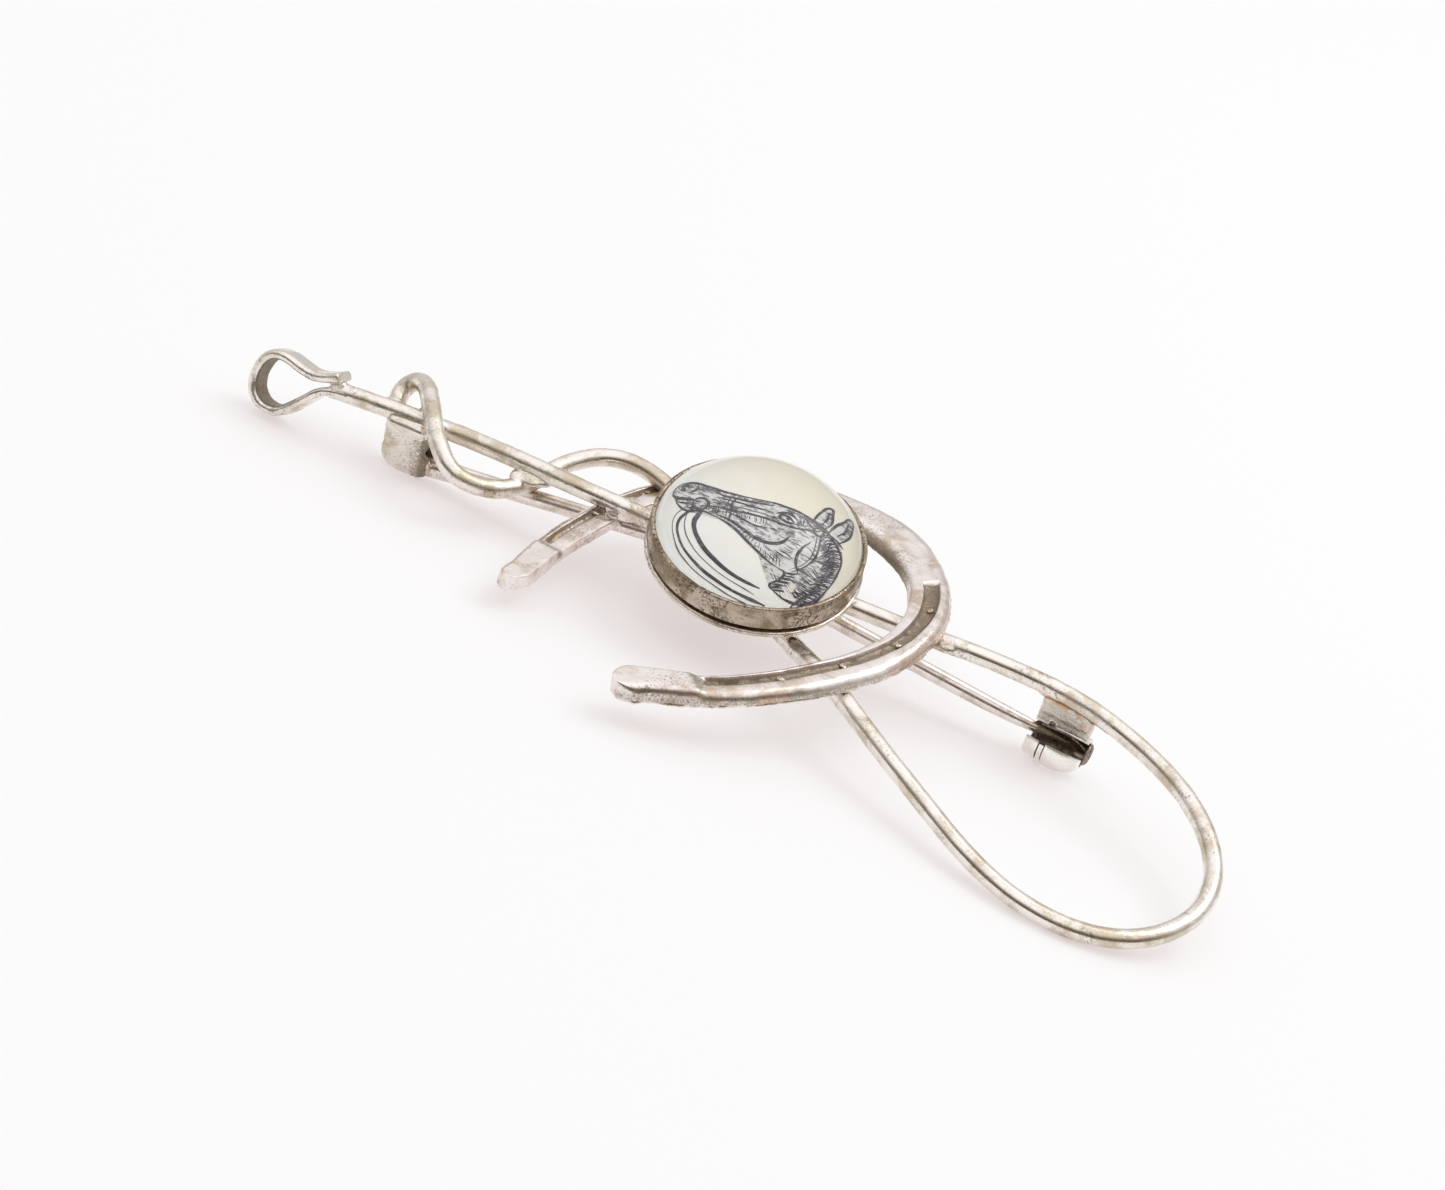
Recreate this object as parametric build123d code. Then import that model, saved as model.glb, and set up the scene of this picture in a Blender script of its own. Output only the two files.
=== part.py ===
from build123d import *
from math import atan2, cos, degrees, radians, sin, tan
import os

# Horseshoe brooch: a silver hunting whip whose lash wraps a horseshoe and a domed crystal.
# It is modelled face up in its own working frame, in millimetres: x runs along the whip's shaft from
# the hook to the lash loop, z points out of the face, and z = 0 is the middle of the shaft's wire.
# At the end every piece is tipped as one onto the surface that the brooch lies on.

# Whip wire
wire_d = 1.28
wire_r = wire_d / 2
# The wire's route, end to end: along the shaft, round the loop, back under the crystal, once round
# the shaft. Each corner is rounded by an arc as large as its two runs allow. Heights are in wire
# diameters, because they are where the wire passes over and under itself.
shaft_route = [
    (-31.6, -0.25, 0), (-27.0, 0.2, 0), (-20.5, 0.5, 0), (-14.0, 0.2, 0), (-6.0, -0.15, 0),
    (2.0, -0.3, 0), (11.0, -0.25, 0), (18.5, 0.2, 0), (24.2, -0.35, 0),
]
loop_route = [
    (29.3, -2.5, 0), (33.1, -5.2, 0), (35.7, -9.2, 0), (36.0, -13.5, 0), (34.0, -17.1, 0),
    (30.5, -19.2, 0), (26.0, -19.3, 0.08), (21.6, -17.7, 0.31), (17.4, -15.0, 0.586),
    (13.0, -12.2, 0.938), (8.8, -9.0, 1.016), (4.9, -5.8, 0), (0.5, -1.9, -0.86),
    (-4.0, 1.9, -0.86),
]
lash_route = [
    (-8.5, 4.9, -0.547), (-12.4, 5.4, -0.547), (-15.2, 3.0, -0.781), (-16.2, 0.1, -0.938),
    (-17.9, -2.8, -0.469), (-20.6, -4.0, 0.234), (-22.8, -2.1, 0.82), (-24.4, 0.4, 1.016),
    (-25.9, 2.9, 0.703), (-27.3, 3.7, 0), (-27.9, 2.2, -0.703), (-26.9, 0.6, -1.016),
]
run_share = 0.45

# Hook: the shaft's end beaten flat, turned round in a loop and back onto the shaft
hook_start = (-31.6, -0.25, 0)
ribbon_w = 1.9
ribbon_t = 0.6
ribbon_corner = 0.2
hook_steps = 40
hook_axis = (0.15, 0.87, -0.47)
hook_route = [
    (0.9, 0.0), (-0.5, -0.3), (-2.2, -2.3), (-3.4, -3.2), (-5.0, -2.9), (-5.7, -1.4), (-5.2, 0.4),
    (-3.9, 0.95), (-2.0, 0.45), (-0.7, 0.45), (0.7, 1.15),
]

# Horseshoe, tilted a little so that the shaft crosses over one branch and under the toe
shoe_centre = (1.93, 0.09)
shoe_top_z = 0.455
shoe_rise_x = 0.0955
shoe_rise_y = -0.155
shoe_turn = 57.8
shoe_l = 29.3
shoe_w = 24.9
shoe_t = 0.95
shoe_toe_share = 0.403
calk_l = 3.0
calk_h = 0.25
# Shares of the shoe's length, from the toe, and of half its width on each side
shoe_outer = [
    {"length": 0.0, "left": 0.0, "right": 0.0}, {"length": 0.034, "left": 0.31, "right": 0.33},
    {"length": 0.115, "left": 0.625, "right": 0.635}, {"length": 0.25, "left": 0.86, "right": 0.87},
    {"length": 0.41, "left": 0.975, "right": 0.985}, {"length": 0.55, "left": 0.99, "right": 0.985},
    {"length": 0.715, "left": 0.915, "right": 0.91}, {"length": 0.86, "left": 0.787, "right": 0.778},
    {"length": 0.975, "left": 0.65, "right": 0.605},
]
shoe_tip = {"length": 1.017, "left": 0.54, "right": 0.475}
shoe_inner = [
    {"length": 0.137, "left": 0.0, "right": 0.0}, {"length": 0.154, "left": 0.31, "right": 0.31},
    {"length": 0.2, "left": 0.5, "right": 0.5}, {"length": 0.312, "left": 0.705, "right": 0.709},
    {"length": 0.45, "left": 0.785, "right": 0.788}, {"length": 0.585, "left": 0.775, "right": 0.775},
    {"length": 0.72, "left": 0.695, "right": 0.715}, {"length": 0.833, "left": 0.61, "right": 0.612},
    {"length": 0.96, "left": 0.475, "right": 0.40},
]
# The groove's middle line and the nail heads in it
groove_line = [
    {"length": 0.126, "left": 0.48, "right": 0.48}, {"length": 0.2, "left": 0.67, "right": 0.665},
    {"length": 0.3, "left": 0.80, "right": 0.80}, {"length": 0.43, "left": 0.87, "right": 0.86},
    {"length": 0.6, "left": 0.87, "right": 0.835}, {"length": 0.85, "left": 0.73, "right": 0.67},
]
groove_w = 0.7
groove_depth = 0.3
nail_shares = [0.16, 0.4, 0.62, 0.84]
nail_l = 0.45
groove_steps = 24

# Crystal, its picture and the cup that holds them
bezel_centre = (-0.05, -0.2)
plate_r = 7.35
plate_z = 0.4
plate_t = 0.42
cup_gap = 0.16
cup_gap_depth = 0.7
cup_base_r = 7.32
cup_rim_r = 7.22
cup_h = 2.27
cup_wall = 0.4
cup_floor_t = 0.4
fit_gap = 0.05
picture_t = 0.4
dome_rise = 3.3
dome_girdle = 1.2

# Pin: a tapered stem, bowed a little towards the face, on a rivet between two ears
pin_r = 0.5
pin_bow = 0.75
pin_start_x = 0.3
pin_tip_x = 23.9
pin_taper = (2.4, 3.0)
pin_taper_r = (0.37, 0.06)
pivot = (-25.3, 0.0, -3.15)
knuckle_r = 0.78
knuckle_w = 0.98
pin_start_z = -3.62
pin_end_z = -3.8
rivet_r = 0.35
turn_gap = 0.05
ear_t = 0.45
ear_top_z = -0.25
ear_x = (-27.1, -24.1)
ear_r = 0.95
ear_bridge_z = -2.2
# The ears' lower corners are filed off
ear_back_h = 1.2
ear_back_cut = (0.25, 0.35)
ear_foot_x = -0.3
ear_front_cut = (0.2, 0.3)

# Roughly how the face leans as the brooch lies: x and y parts of the surface's upright
rest_guess = (0.04, 0.3)
rest_rounds = 8
loop_steps = 60

# Safety catch: a barrel open at its upper front, with a sleeve that turns to close it
catch_centre = (23.35, -0.38, -4.55)
catch_turn = -6.0
catch_l = 3.2
catch_r = 1.52
catch_wall = 0.3
catch_open = (-11.0, 51.0)
catch_block_t = 1.0
catch_notch = -37.0
catch_slot_end = 118.0
arc_steps = 12
cut_over = 1.0
slot_x = -0.7
slot_w = 0.42
sleeve_over = 0.5
sleeve_wall = 0.22
sleeve_open = (-24.0, 56.0)
sleeve_end_r = 0.95
sleeve_end_t = 0.95
tab_at = (56.0, 74.0)
tab_r = 1.78
tab_w = 0.34


def rounded_path(points):
    # Straight runs joined by tangent arcs, each as large as its two runs allow
    radii = []
    vectors = [Vector(p) for p in points]
    for before, here, after in zip(vectors, vectors[1:], vectors[2:]):
        run_in, run_out = here - before, after - here
        turn = radians(run_in.get_angle(run_out))
        radii.append(run_share * min(run_in.length, run_out.length) / tan(turn / 2))
    return FilletPolyline(*points, radius=radii)


def in_wires(points):
    # Heights given in wire diameters, as lengths
    return [(x, y, z * wire_d) for x, y, z in points]


def on_start(path):
    return Plane(origin=path @ 0, z_dir=path % 0)


def whip_wire():
    path = rounded_path(in_wires(shaft_route + loop_route + lash_route))
    tube = sweep(on_start(path) * Circle(wire_r), path=path)
    return tube + Pos(*hook_start) * Sphere(wire_r)


def hook_frame():
    # x along the shaft, y up the loop, z across the ribbon
    across = Vector(hook_axis).normalized()
    along = Vector(1, 0, 0)
    along = (along - across * along.dot(across)).normalized()
    return Plane(origin=hook_start, x_dir=along, z_dir=across * -1)


def hook_path():
    frame = hook_frame()
    points = [frame.from_local_coords(Vector(x, y, 0)) for x, y in hook_route]
    return rounded_path([(p.X, p.Y, p.Z) for p in points])


def hook_edges():
    # Points along the outside of the ribbon's two edges
    frame, path = hook_frame(), hook_path()
    points = []
    for i in range(hook_steps + 1):
        out = (path % (i / hook_steps)).cross(frame.z_dir) * (ribbon_t / 2)
        edge = path @ (i / hook_steps) + out
        points += [edge + frame.z_dir * (s * ribbon_w / 2) for s in (-1, 1)]
    return points


def hook_ribbon():
    frame, path = hook_frame(), hook_path()
    start = Plane(origin=path @ 0, x_dir=frame.z_dir, z_dir=path % 0)
    return sweep(start * RectangleRounded(ribbon_w, ribbon_t, ribbon_corner), path=path)


def shoe_plane():
    # The shoe's top face: x towards the heels
    normal = Vector(-shoe_rise_x, -shoe_rise_y, 1).normalized()
    along = Vector(1, 0, shoe_rise_x).normalized()
    across = normal.cross(along)
    to_toe = along * cos(radians(shoe_turn)) + across * sin(radians(shoe_turn))
    x, y = shoe_centre
    z = shoe_top_z + shoe_rise_x * x + shoe_rise_y * y
    return Plane(origin=(x, y, z), x_dir=to_toe * -1, z_dir=normal)


shoe_sides = {"left": -1, "right": 1}


def shoe_point(row, side):
    x = (row["length"] - shoe_toe_share) * shoe_l
    return (x, shoe_sides[side] * row[side] * shoe_w / 2)


def shoe_curve(table):
    # One smooth curve from heel to heel through the toe
    left = [shoe_point(row, "left") for row in reversed(table)]
    right = [shoe_point(row, "right") for row in table[1:]]
    return Spline(*left, *right)


def shoe_outline():
    outer = shoe_curve(shoe_outer)
    inner = shoe_curve(shoe_inner)
    tips = [
        ThreePointArc(curve_end, shoe_point(shoe_tip, side), inner_end)
        for side, curve_end, inner_end in (("left", outer @ 0, inner @ 0), ("right", outer @ 1, inner @ 1))
    ]
    return make_face([outer, inner, *tips])


def along_groove(line, share):
    # A frame on the groove's middle line, x along the line
    point, way = line @ share, line % share
    return Pos(point.X, point.Y) * Rot(0, 0, degrees(atan2(way.Y, way.X)))


def horseshoe():
    outline = shoe_outline()
    body = extrude(outline, -shoe_t)
    for side in shoe_sides:
        line = Spline(*[shoe_point(row, side) for row in groove_line])
        stops = [along_groove(line, i / groove_steps) for i in range(groove_steps + 1)]
        edge_a = Spline(*[(s * Pos(0, groove_w / 2)).position for s in stops[::4]])
        edge_b = Spline(*[(s * Pos(0, -groove_w / 2)).position for s in stops[::4]])
        ends = [Line(edge_a @ 0, edge_b @ 0), Line(edge_a @ 1, edge_b @ 1)]
        body -= extrude(make_face([edge_a, edge_b, *ends]), -groove_depth)
        # The nail heads fill the groove, level with the shoe's top face
        nail_h = groove_depth + fit_gap
        for share in nail_shares:
            nail = Pos(0, 0, -nail_h / 2) * Box(nail_l, groove_w + fit_gap, nail_h)
            body += along_groove(line, share) * nail
        tip = shoe_point(shoe_tip, side)
        before = shoe_point(shoe_outer[-2], side)
        turn = degrees(atan2(tip[1] - before[1], tip[0] - before[0]))
        reach = Pos(*tip) * Rot(0, 0, turn) * Pos(-calk_l / 2, 0) * Rectangle(calk_l, shoe_w / 4)
        body += extrude(outline & reach, calk_h)
    return shoe_plane().location * body


def at_bezel(z):
    return Pos(*bezel_centre, z)


def disc(radius, low, thick):
    return at_bezel(low + thick / 2) * Cylinder(radius, thick)


cup_low = plate_z + plate_t + cup_gap
cup_top = cup_low + cup_h
cavity_r = cup_rim_r - cup_wall
cavity_low = cup_low + cup_floor_t


def bezel_cup():
    plate = disc(plate_r, plate_z, plate_t)
    neck = disc(cup_base_r - cup_gap_depth, plate_z + plate_t, cup_gap)
    wall = at_bezel(cup_low + cup_h / 2) * Cone(cup_base_r, cup_rim_r, cup_h)
    cavity = disc(cavity_r, cavity_low, cup_top - cavity_low)
    return plate + neck + (wall - cavity)


def picture_disc():
    return disc(cavity_r - fit_gap, cavity_low + fit_gap, picture_t)


def crystal_dome():
    # A disc with a spherical cap on it
    radius = cavity_r - fit_gap
    low = cavity_low + fit_gap + picture_t + fit_gap
    girdle = disc(radius, low, dome_girdle)
    ball_r = (radius ** 2 + dome_rise ** 2) / (2 * dome_rise)
    top = low + dome_girdle + dome_rise
    ball = at_bezel(top - ball_r) * Sphere(ball_r)
    keep = disc(radius, low + dome_girdle / 2, dome_girdle + dome_rise)
    return girdle + (ball & keep)


def hinge_ears():
    outer_w = knuckle_w + 2 * (turn_gap + ear_t)
    inner_w = knuckle_w + 2 * turn_gap
    x_low, x_high = ear_x
    low = pivot[2] - ear_r
    corners = [
        (x_low, ear_top_z),
        (x_low, pivot[2] + ear_back_h),
        (pivot[0] - ear_r + ear_back_cut[0], low + ear_back_cut[1]),
        (pivot[0] + ear_foot_x, low),
        (x_high - ear_front_cut[0], low),
        (x_high, low + ear_front_cut[1]),
        (x_high, ear_top_z),
    ]
    side_plane = Plane(origin=(0, outer_w / 2, 0), x_dir=(1, 0, 0), z_dir=(0, -1, 0))
    block = extrude(side_plane * make_face(Polyline(*corners, close=True)), outer_w)
    slot_h = ear_bridge_z - low + ear_r
    slot_l = 3 * ear_r + x_high - x_low
    slot = Pos((x_low + x_high) / 2, 0, ear_bridge_z - slot_h / 2) * Box(slot_l, inner_w, slot_h)
    hole = Pos(*pivot) * Rot(90, 0, 0) * Cylinder(rivet_r + turn_gap / 2, 2 * outer_w)
    return block - slot - hole


def hinge_rivet():
    outer_w = knuckle_w + 2 * (turn_gap + ear_t)
    return Pos(*pivot) * Rot(90, 0, 0) * Cylinder(rivet_r, outer_w)


def pin_path():
    taper_l = sum(pin_taper)
    start = (pivot[0] + pin_start_x, 0, pin_start_z)
    end = (pin_tip_x - taper_l, 0, pin_end_z)
    middle = ((start[0] + end[0]) / 2, 0, (pin_start_z + pin_end_z) / 2 + pin_bow)
    return ThreePointArc(start, middle, end)


def pin_stem():
    path = pin_path()
    stem = sweep(on_start(path) * Circle(pin_r), path=path)
    tip = Plane(origin=path @ 1, z_dir=path % 1)
    first, second = pin_taper
    stem += tip * Pos(0, 0, first / 2) * Cone(pin_r, pin_taper_r[0], first)
    stem += tip * Pos(0, 0, first + second / 2) * Cone(pin_taper_r[0], pin_taper_r[1], second)
    # Between the ears the stem is filed flat to the knuckle's width
    flat_l = ear_x[1] - pivot[0] + 2 * turn_gap
    between = Pos(pivot[0] + flat_l / 2, 0, pivot[2]) * Box(flat_l, 4 * pin_r, 4 * knuckle_r)
    flat = Pos(pivot[0] + flat_l / 2, 0, pivot[2]) * Box(flat_l, knuckle_w, 4 * knuckle_r)
    stem -= between - flat
    knuckle = Pos(*pivot) * Rot(90, 0, 0) * Cylinder(knuckle_r, knuckle_w)
    hole = Pos(*pivot) * Rot(90, 0, 0) * Cylinder(rivet_r + turn_gap, 2 * knuckle_w)
    return stem + knuckle - hole


def catch_frame():
    # z along the barrel, away from the hinge; x up, out of the face; y to the front
    along = Vector(cos(radians(catch_turn)), sin(radians(catch_turn)), 0)
    return Plane(origin=catch_centre, x_dir=(0, 0, 1), z_dir=along)


def wedge(radius, start, end, z_low, z_high):
    # A sector of a cylinder between two angles, both measured from straight up towards the front
    angles = [start + (end - start) * i / arc_steps for i in range(arc_steps + 1)]
    rim = [(radius * cos(radians(a)), radius * sin(radians(a))) for a in angles]
    face = make_face(Polyline((0, 0), *rim, close=True))
    return Pos(0, 0, z_low) * extrude(face, z_high - z_low)


def catch_housing():
    half = catch_l / 2
    barrel = Cylinder(catch_r, catch_l)
    top = -catch_centre[2] - wire_r / 2
    block_front = catch_r * sin(radians(catch_open[0])) + catch_wall / 2
    block = Pos(top / 2, block_front - catch_block_t / 2, 0) * Box(top, catch_block_t, catch_l)
    bore = Cylinder(catch_r - catch_wall, 2 * catch_l)
    mouth = wedge(2 * catch_r, *catch_open, -catch_l, catch_l)
    slot_low, slot_high = slot_x - slot_w / 2, slot_x + slot_w / 2
    notch = wedge(tab_r + turn_gap, catch_notch, catch_open[0] + cut_over, slot_low, slot_high)
    slot = wedge(2 * catch_r, catch_open[1] - cut_over, catch_slot_end, slot_low, slot_high)
    housing = (barrel + block) - bore - mouth - notch - slot
    return catch_frame().location * housing


def catch_rotor():
    outer = catch_r - catch_wall - turn_gap
    low, high = -catch_l / 2 + turn_gap, catch_l / 2 + sleeve_over
    bore_high = high - sleeve_end_t
    sleeve = Pos(0, 0, (low + catch_l / 2) / 2) * Cylinder(outer, catch_l / 2 - low)
    knob = Pos(0, 0, (bore_high + high) / 2) * Cylinder(sleeve_end_r, sleeve_end_t)
    bore = Pos(0, 0, bore_high - catch_l) * Cylinder(outer - sleeve_wall, 2 * catch_l)
    mouth = wedge(2 * catch_r, *sleeve_open, low - catch_wall, bore_high)
    tab = wedge(tab_r, *tab_at, slot_x - tab_w / 2, slot_x + tab_w / 2)
    tab -= Cylinder(outer - sleeve_wall / 2, 2 * catch_l)
    return catch_frame().location * (sleeve + knob - bore - mouth + tab)


def resting_plane():
    # The surface under the brooch: it touches the hinge or the hook, the catch and the lash loop
    half_w = knuckle_w / 2 + turn_gap + ear_t
    hinge_end = [(Vector(x, -half_w, pivot[2] - ear_r), 0) for x in ear_x]
    hinge_end += [(point, 0) for point in hook_edges()]
    along = catch_frame().z_dir * (catch_l / 2)
    barrel = [(Vector(catch_centre) + along * s, catch_r) for s in (-1, 1)]
    path = rounded_path(in_wires(shaft_route[-1:] + loop_route))
    loop = [(path @ (i / loop_steps), wire_r) for i in range(loop_steps + 1)]
    normal = Vector(*rest_guess, 1).normalized()
    for _ in range(rest_rounds):
        feet = []
        for group in (hinge_end, barrel, loop):
            points = [p - normal * r for p, r in group]
            feet.append(min(points, key=lambda p: p.dot(normal)))
        normal = (feet[1] - feet[0]).cross(feet[2] - feet[0]).normalized()
        if normal.Z < 0:
            normal = normal * -1
    along = (Vector(1, 0, 0) - normal * normal.X).normalized()
    return Plane(origin=feet[0], x_dir=along, z_dir=normal)


def build_parts():
    frame = whip_wire() + hook_ribbon() + horseshoe() + bezel_cup() + hinge_ears() + catch_housing()
    return {
        "frame": frame,
        "picture_disc": picture_disc(),
        "crystal_dome": crystal_dome(),
        "pin_stem": pin_stem(),
        "hinge_rivet": hinge_rivet(),
        "catch_rotor": catch_rotor(),
    }


def main():
    parts = build_parts()
    rest = resting_plane()
    print("surface normal", rest.z_dir, "origin", rest.origin)
    laid = {name: shape.moved(rest.location.inverse()) for name, shape in parts.items()}
    box = Compound(children=[s.moved(Location()) for s in laid.values()]).bounding_box()
    shift = Location((-(box.min.X + box.max.X) / 2, -(box.min.Y + box.max.Y) / 2, -box.min.Z))
    print("shift", shift.position, "size", box.size)
    os.makedirs("parts", exist_ok=True)
    for name, shape in laid.items():
        placed = shape.moved(shift)
        print(name, len(placed.solids()), "solids", round(placed.volume, 2), "mm3")
        export_step(placed, f"parts/{name}.step")


main()
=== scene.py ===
import random
from math import cos, pi, radians, sin

import bmesh
import bpy
from mathutils import Matrix, Vector, noise


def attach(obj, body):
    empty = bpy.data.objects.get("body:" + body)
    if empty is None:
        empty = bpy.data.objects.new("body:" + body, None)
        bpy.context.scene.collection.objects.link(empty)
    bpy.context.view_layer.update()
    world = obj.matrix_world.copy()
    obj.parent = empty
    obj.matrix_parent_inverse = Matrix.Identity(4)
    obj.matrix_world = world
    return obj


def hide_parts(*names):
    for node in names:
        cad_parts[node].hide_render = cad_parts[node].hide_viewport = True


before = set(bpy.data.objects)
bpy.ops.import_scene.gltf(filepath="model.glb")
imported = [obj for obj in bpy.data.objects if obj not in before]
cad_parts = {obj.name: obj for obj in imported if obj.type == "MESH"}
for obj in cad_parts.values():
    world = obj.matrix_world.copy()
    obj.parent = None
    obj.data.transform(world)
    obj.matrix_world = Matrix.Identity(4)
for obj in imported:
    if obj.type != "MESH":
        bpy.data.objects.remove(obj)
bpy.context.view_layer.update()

mm = 0.001

# The brooch is drawn face up in its own frame in millimetres, x along the shaft and z out of the face.
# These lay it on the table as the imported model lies.
laidOrigin = (0.4137, 3.8631, 5.1673)
laidX = (0.9994, 0, 0.0353)
laidY = (-0.0102, 0.9573, 0.2891)
laidZ = (-0.0338, -0.2892, 0.9567)


def axesMatrix(origin, x, y, z):
    rows = [[x[i], y[i], z[i], origin[i]] for i in range(3)]
    return Matrix(rows + [[0, 0, 0, 1]])


toTable = Matrix.Scale(mm, 4) @ axesMatrix(laidOrigin, laidX, laidY, laidZ)


def setAll(thing, settings):
    for key, value in settings.items():
        setattr(thing, key, value)
    return thing


# A shader socket that adds up and multiplies as a number does
class Wire:
    def __init__(self, shader, socket):
        self.shader = shader
        self.socket = socket

    def sum(self, operation, first, second):
        return self.shader.add("Math", {"operation": operation}, {0: first, 1: second})

    def __add__(self, other):
        return self.sum("ADD", self, other)

    def __sub__(self, other):
        return self.sum("SUBTRACT", self, other)

    def __rsub__(self, other):
        return self.sum("SUBTRACT", other, self)

    def __mul__(self, other):
        return self.sum("MULTIPLY", self, other)


class Shader:
    def __init__(self, tree):
        self.nodes = tree.nodes
        self.links = tree.links
        self.nodes.clear()

    # Any shader node: its settings first, then the values or links of its sockets
    def add(self, kind, settings=None, values=None, out=0):
        node = setAll(self.nodes.new("ShaderNode" + kind), settings or {})
        for key, value in (values or {}).items():
            if isinstance(value, Wire):
                self.links.new(value.socket, node.inputs[key])
            else:
                node.inputs[key].default_value = value
        return Wire(self, node.outputs[out]) if len(node.outputs) else node

    def place(self):
        return self.add("TexCoord", out="Object")

    # Noise with features about size millimetres across
    def noise(self, place, size, detail=3, rough=0.55, warp=0):
        return self.add("TexNoise", {}, {
            "Vector": place, "Scale": 1 / (size * mm), "Detail": detail, "Roughness": rough,
            "Distortion": warp})

    def cells(self, place, size):
        return self.add("TexVoronoi", {}, {"Vector": place, "Scale": 1 / (size * mm)})

    def vector(self, operation, first, second, out="Value"):
        return self.add("VectorMath", {"operation": operation}, {0: first, 1: second}, out)

    def soft(self, value, low, high, start=0, end=1):
        return self.add("MapRange", {"interpolation_type": "SMOOTHSTEP"}, {
            "Value": value, "From Min": low, "From Max": high, "To Min": start, "To Max": end})

    def mix(self, share, first, second):
        # Sockets 6 and 7 are the colours, 2 the mixed one
        return self.add("Mix", {"data_type": "RGBA"}, {0: share, 6: first, 7: second}, 2)

    # How near a point, given in the drawing's millimetres: 1 there, 0 from reach on
    def near(self, place, point, reach):
        there = toTable @ Vector(point)
        gap = self.vector("DISTANCE", place, there)
        return self.soft(gap, 0, reach * mm, 1, 0)

    # How far a place lies along an axis of the drawing, in metres from the laid origin
    def along(self, place, axis):
        shifted = self.vector("SUBTRACT", place, Vector(laidOrigin) * mm, "Vector")
        return self.vector("DOT_PRODUCT", shifted, axis)

    def bump(self, height, depth, strength=1):
        return self.add("Bump", {}, {
            "Height": height, "Distance": depth * mm, "Strength": strength})

    def finish(self, **values):
        sockets = {key.replace("_", " "): value for key, value in values.items()}
        self.output(self.add("BsdfPrincipled", {}, sockets))

    def output(self, surface):
        self.add("OutputMaterial", {}, {"Surface": surface})


def newShader(name):
    material = bpy.data.materials.new(name)
    material.use_nodes = True
    return material, Shader(material.node_tree)


# Silver: worn bright and pinkish, warm and dull in patches, speckled with fine dark tarnish and pitted.
# An attribute on each piece says where tarnish fills it, and also where shade and dark reflections are
# painted into it.
silverLook = {
    "bright": (0.88, 0.81, 0.78, 1), "warm": (0.62, 0.53, 0.44, 1), "dark": (0.16, 0.12, 0.085, 1),
    "grain": 0.2, "patch": 2.2, "warmFrom": 0.46, "spots": 0.7, "spotsFrom": 0.555, "spread": 3.2,
    "smooth": 0.12, "rough": 0.3, "bump": 0.008, "pit": 0.42, "pits": 0.35,
    "hollow": (0.15, 0.115, 0.08, 1), "hollowLight": (0.38, 0.31, 0.22, 1), "ragged": 2.4, "dull": 0.6,
    "stains": [], "stain": 0.6,
}


def silver(name, **changes):
    look = {**silverLook, **changes}
    material, s = newShader(name)
    place = s.place()
    grain = s.noise(place, look["grain"], 4, 0.7)
    fine = s.noise(place, look["grain"] * 0.35, 2, 0.6)
    patch = s.noise(place, look["patch"], 4, 0.62, 0.6)
    spread = s.noise(place, look["spread"], 3, 0.6)
    warmth = s.soft(patch * 0.75 + fine * 0.25, look["warmFrom"], look["warmFrom"] + 0.16)
    body = s.mix(warmth, look["bright"], look["warm"])
    spots = s.soft(grain * 0.6 + spread * 0.4, look["spotsFrom"], look["spotsFrom"] + 0.08)
    pits = s.soft(s.cells(place, look["pit"]), 0.1, 0.24, 1, 0) * s.soft(spread, 0.48, 0.6) * look["pits"]
    colour = s.mix(spots * look["spots"], body, look["dark"])
    colour = s.mix(pits, colour, look["dark"])
    hollow = s.add("Attribute", {"attribute_name": "hollow"}, out="Fac")
    hollow = s.soft(hollow * 1.2 + (grain * 0.5 + fine * 0.5 - 0.5) * look["ragged"], 0.35, 0.85)
    tarnishShadeFill = s.mix(s.soft(fine * 0.6 + grain * 0.4, 0.4, 0.62), look["hollow"], look["hollowLight"])
    colour = s.mix(hollow, colour, tarnishShadeFill)
    for point, reach, tint in look["stains"]:
        edge = s.near(place, point, reach) * 1.6 + (patch * 0.5 + grain * 0.5 - 0.5) * 4
        colour = s.mix(s.soft(edge, 0.35, 0.9) * look["stain"], colour, tint)
    roughness = s.soft(grain * 0.4 + patch * 0.6, 0.38, 0.62, look["smooth"], look["rough"]) + hollow * 0.15
    s.finish(Base_Color=colour, Metallic=1 - hollow * look["dull"], Roughness=roughness,
             Normal=s.bump(grain * 0.5 + fine * 0.3 - pits * 0.6 - spots * 0.2, look["bump"]))
    return material


# Tones that several pieces share
wireTone = {"bright": (0.89, 0.84, 0.79, 1), "warm": (0.62, 0.54, 0.42, 1)}
whiteTone = {"bright": (0.97, 0.95, 0.92, 1), "warm": (0.88, 0.83, 0.77, 1), "smooth": 0.24, "rough": 0.42}


def link(obj):
    bpy.context.scene.collection.objects.link(obj)
    return obj


def meshOf(data, modifiers=()):
    # A bmesh of what Blender shows for a curve or a mesh with modifiers, which are then gone
    holder = link(bpy.data.objects.new("holder", data))
    for kind, settings in modifiers:
        setAll(holder.modifiers.new(kind, kind), settings)
    bpy.context.view_layer.update()
    shown = holder.evaluated_get(bpy.context.evaluated_depsgraph_get())
    mesh = bpy.data.meshes.new_from_object(shown)
    bm = bmesh.new()
    bm.from_mesh(mesh)
    bpy.data.objects.remove(holder)
    bpy.data.meshes.remove(mesh)
    return bm


def asMesh(name, bm):
    mesh = bpy.data.meshes.new(name)
    bm.to_mesh(mesh)
    bm.free()
    return mesh


def withModifiers(bm, *modifiers):
    return meshOf(asMesh("raw", bm), modifiers)


def join(*bms):
    whole = bmesh.new()
    for bm in bms:
        mesh = asMesh("part", bm)
        whole.from_mesh(mesh)
        bpy.data.meshes.remove(mesh)
    return whole


def clean(bm):
    bmesh.ops.remove_doubles(bm, verts=bm.verts, dist=0.0005)
    bmesh.ops.recalc_face_normals(bm, faces=bm.faces)
    return bm


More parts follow.
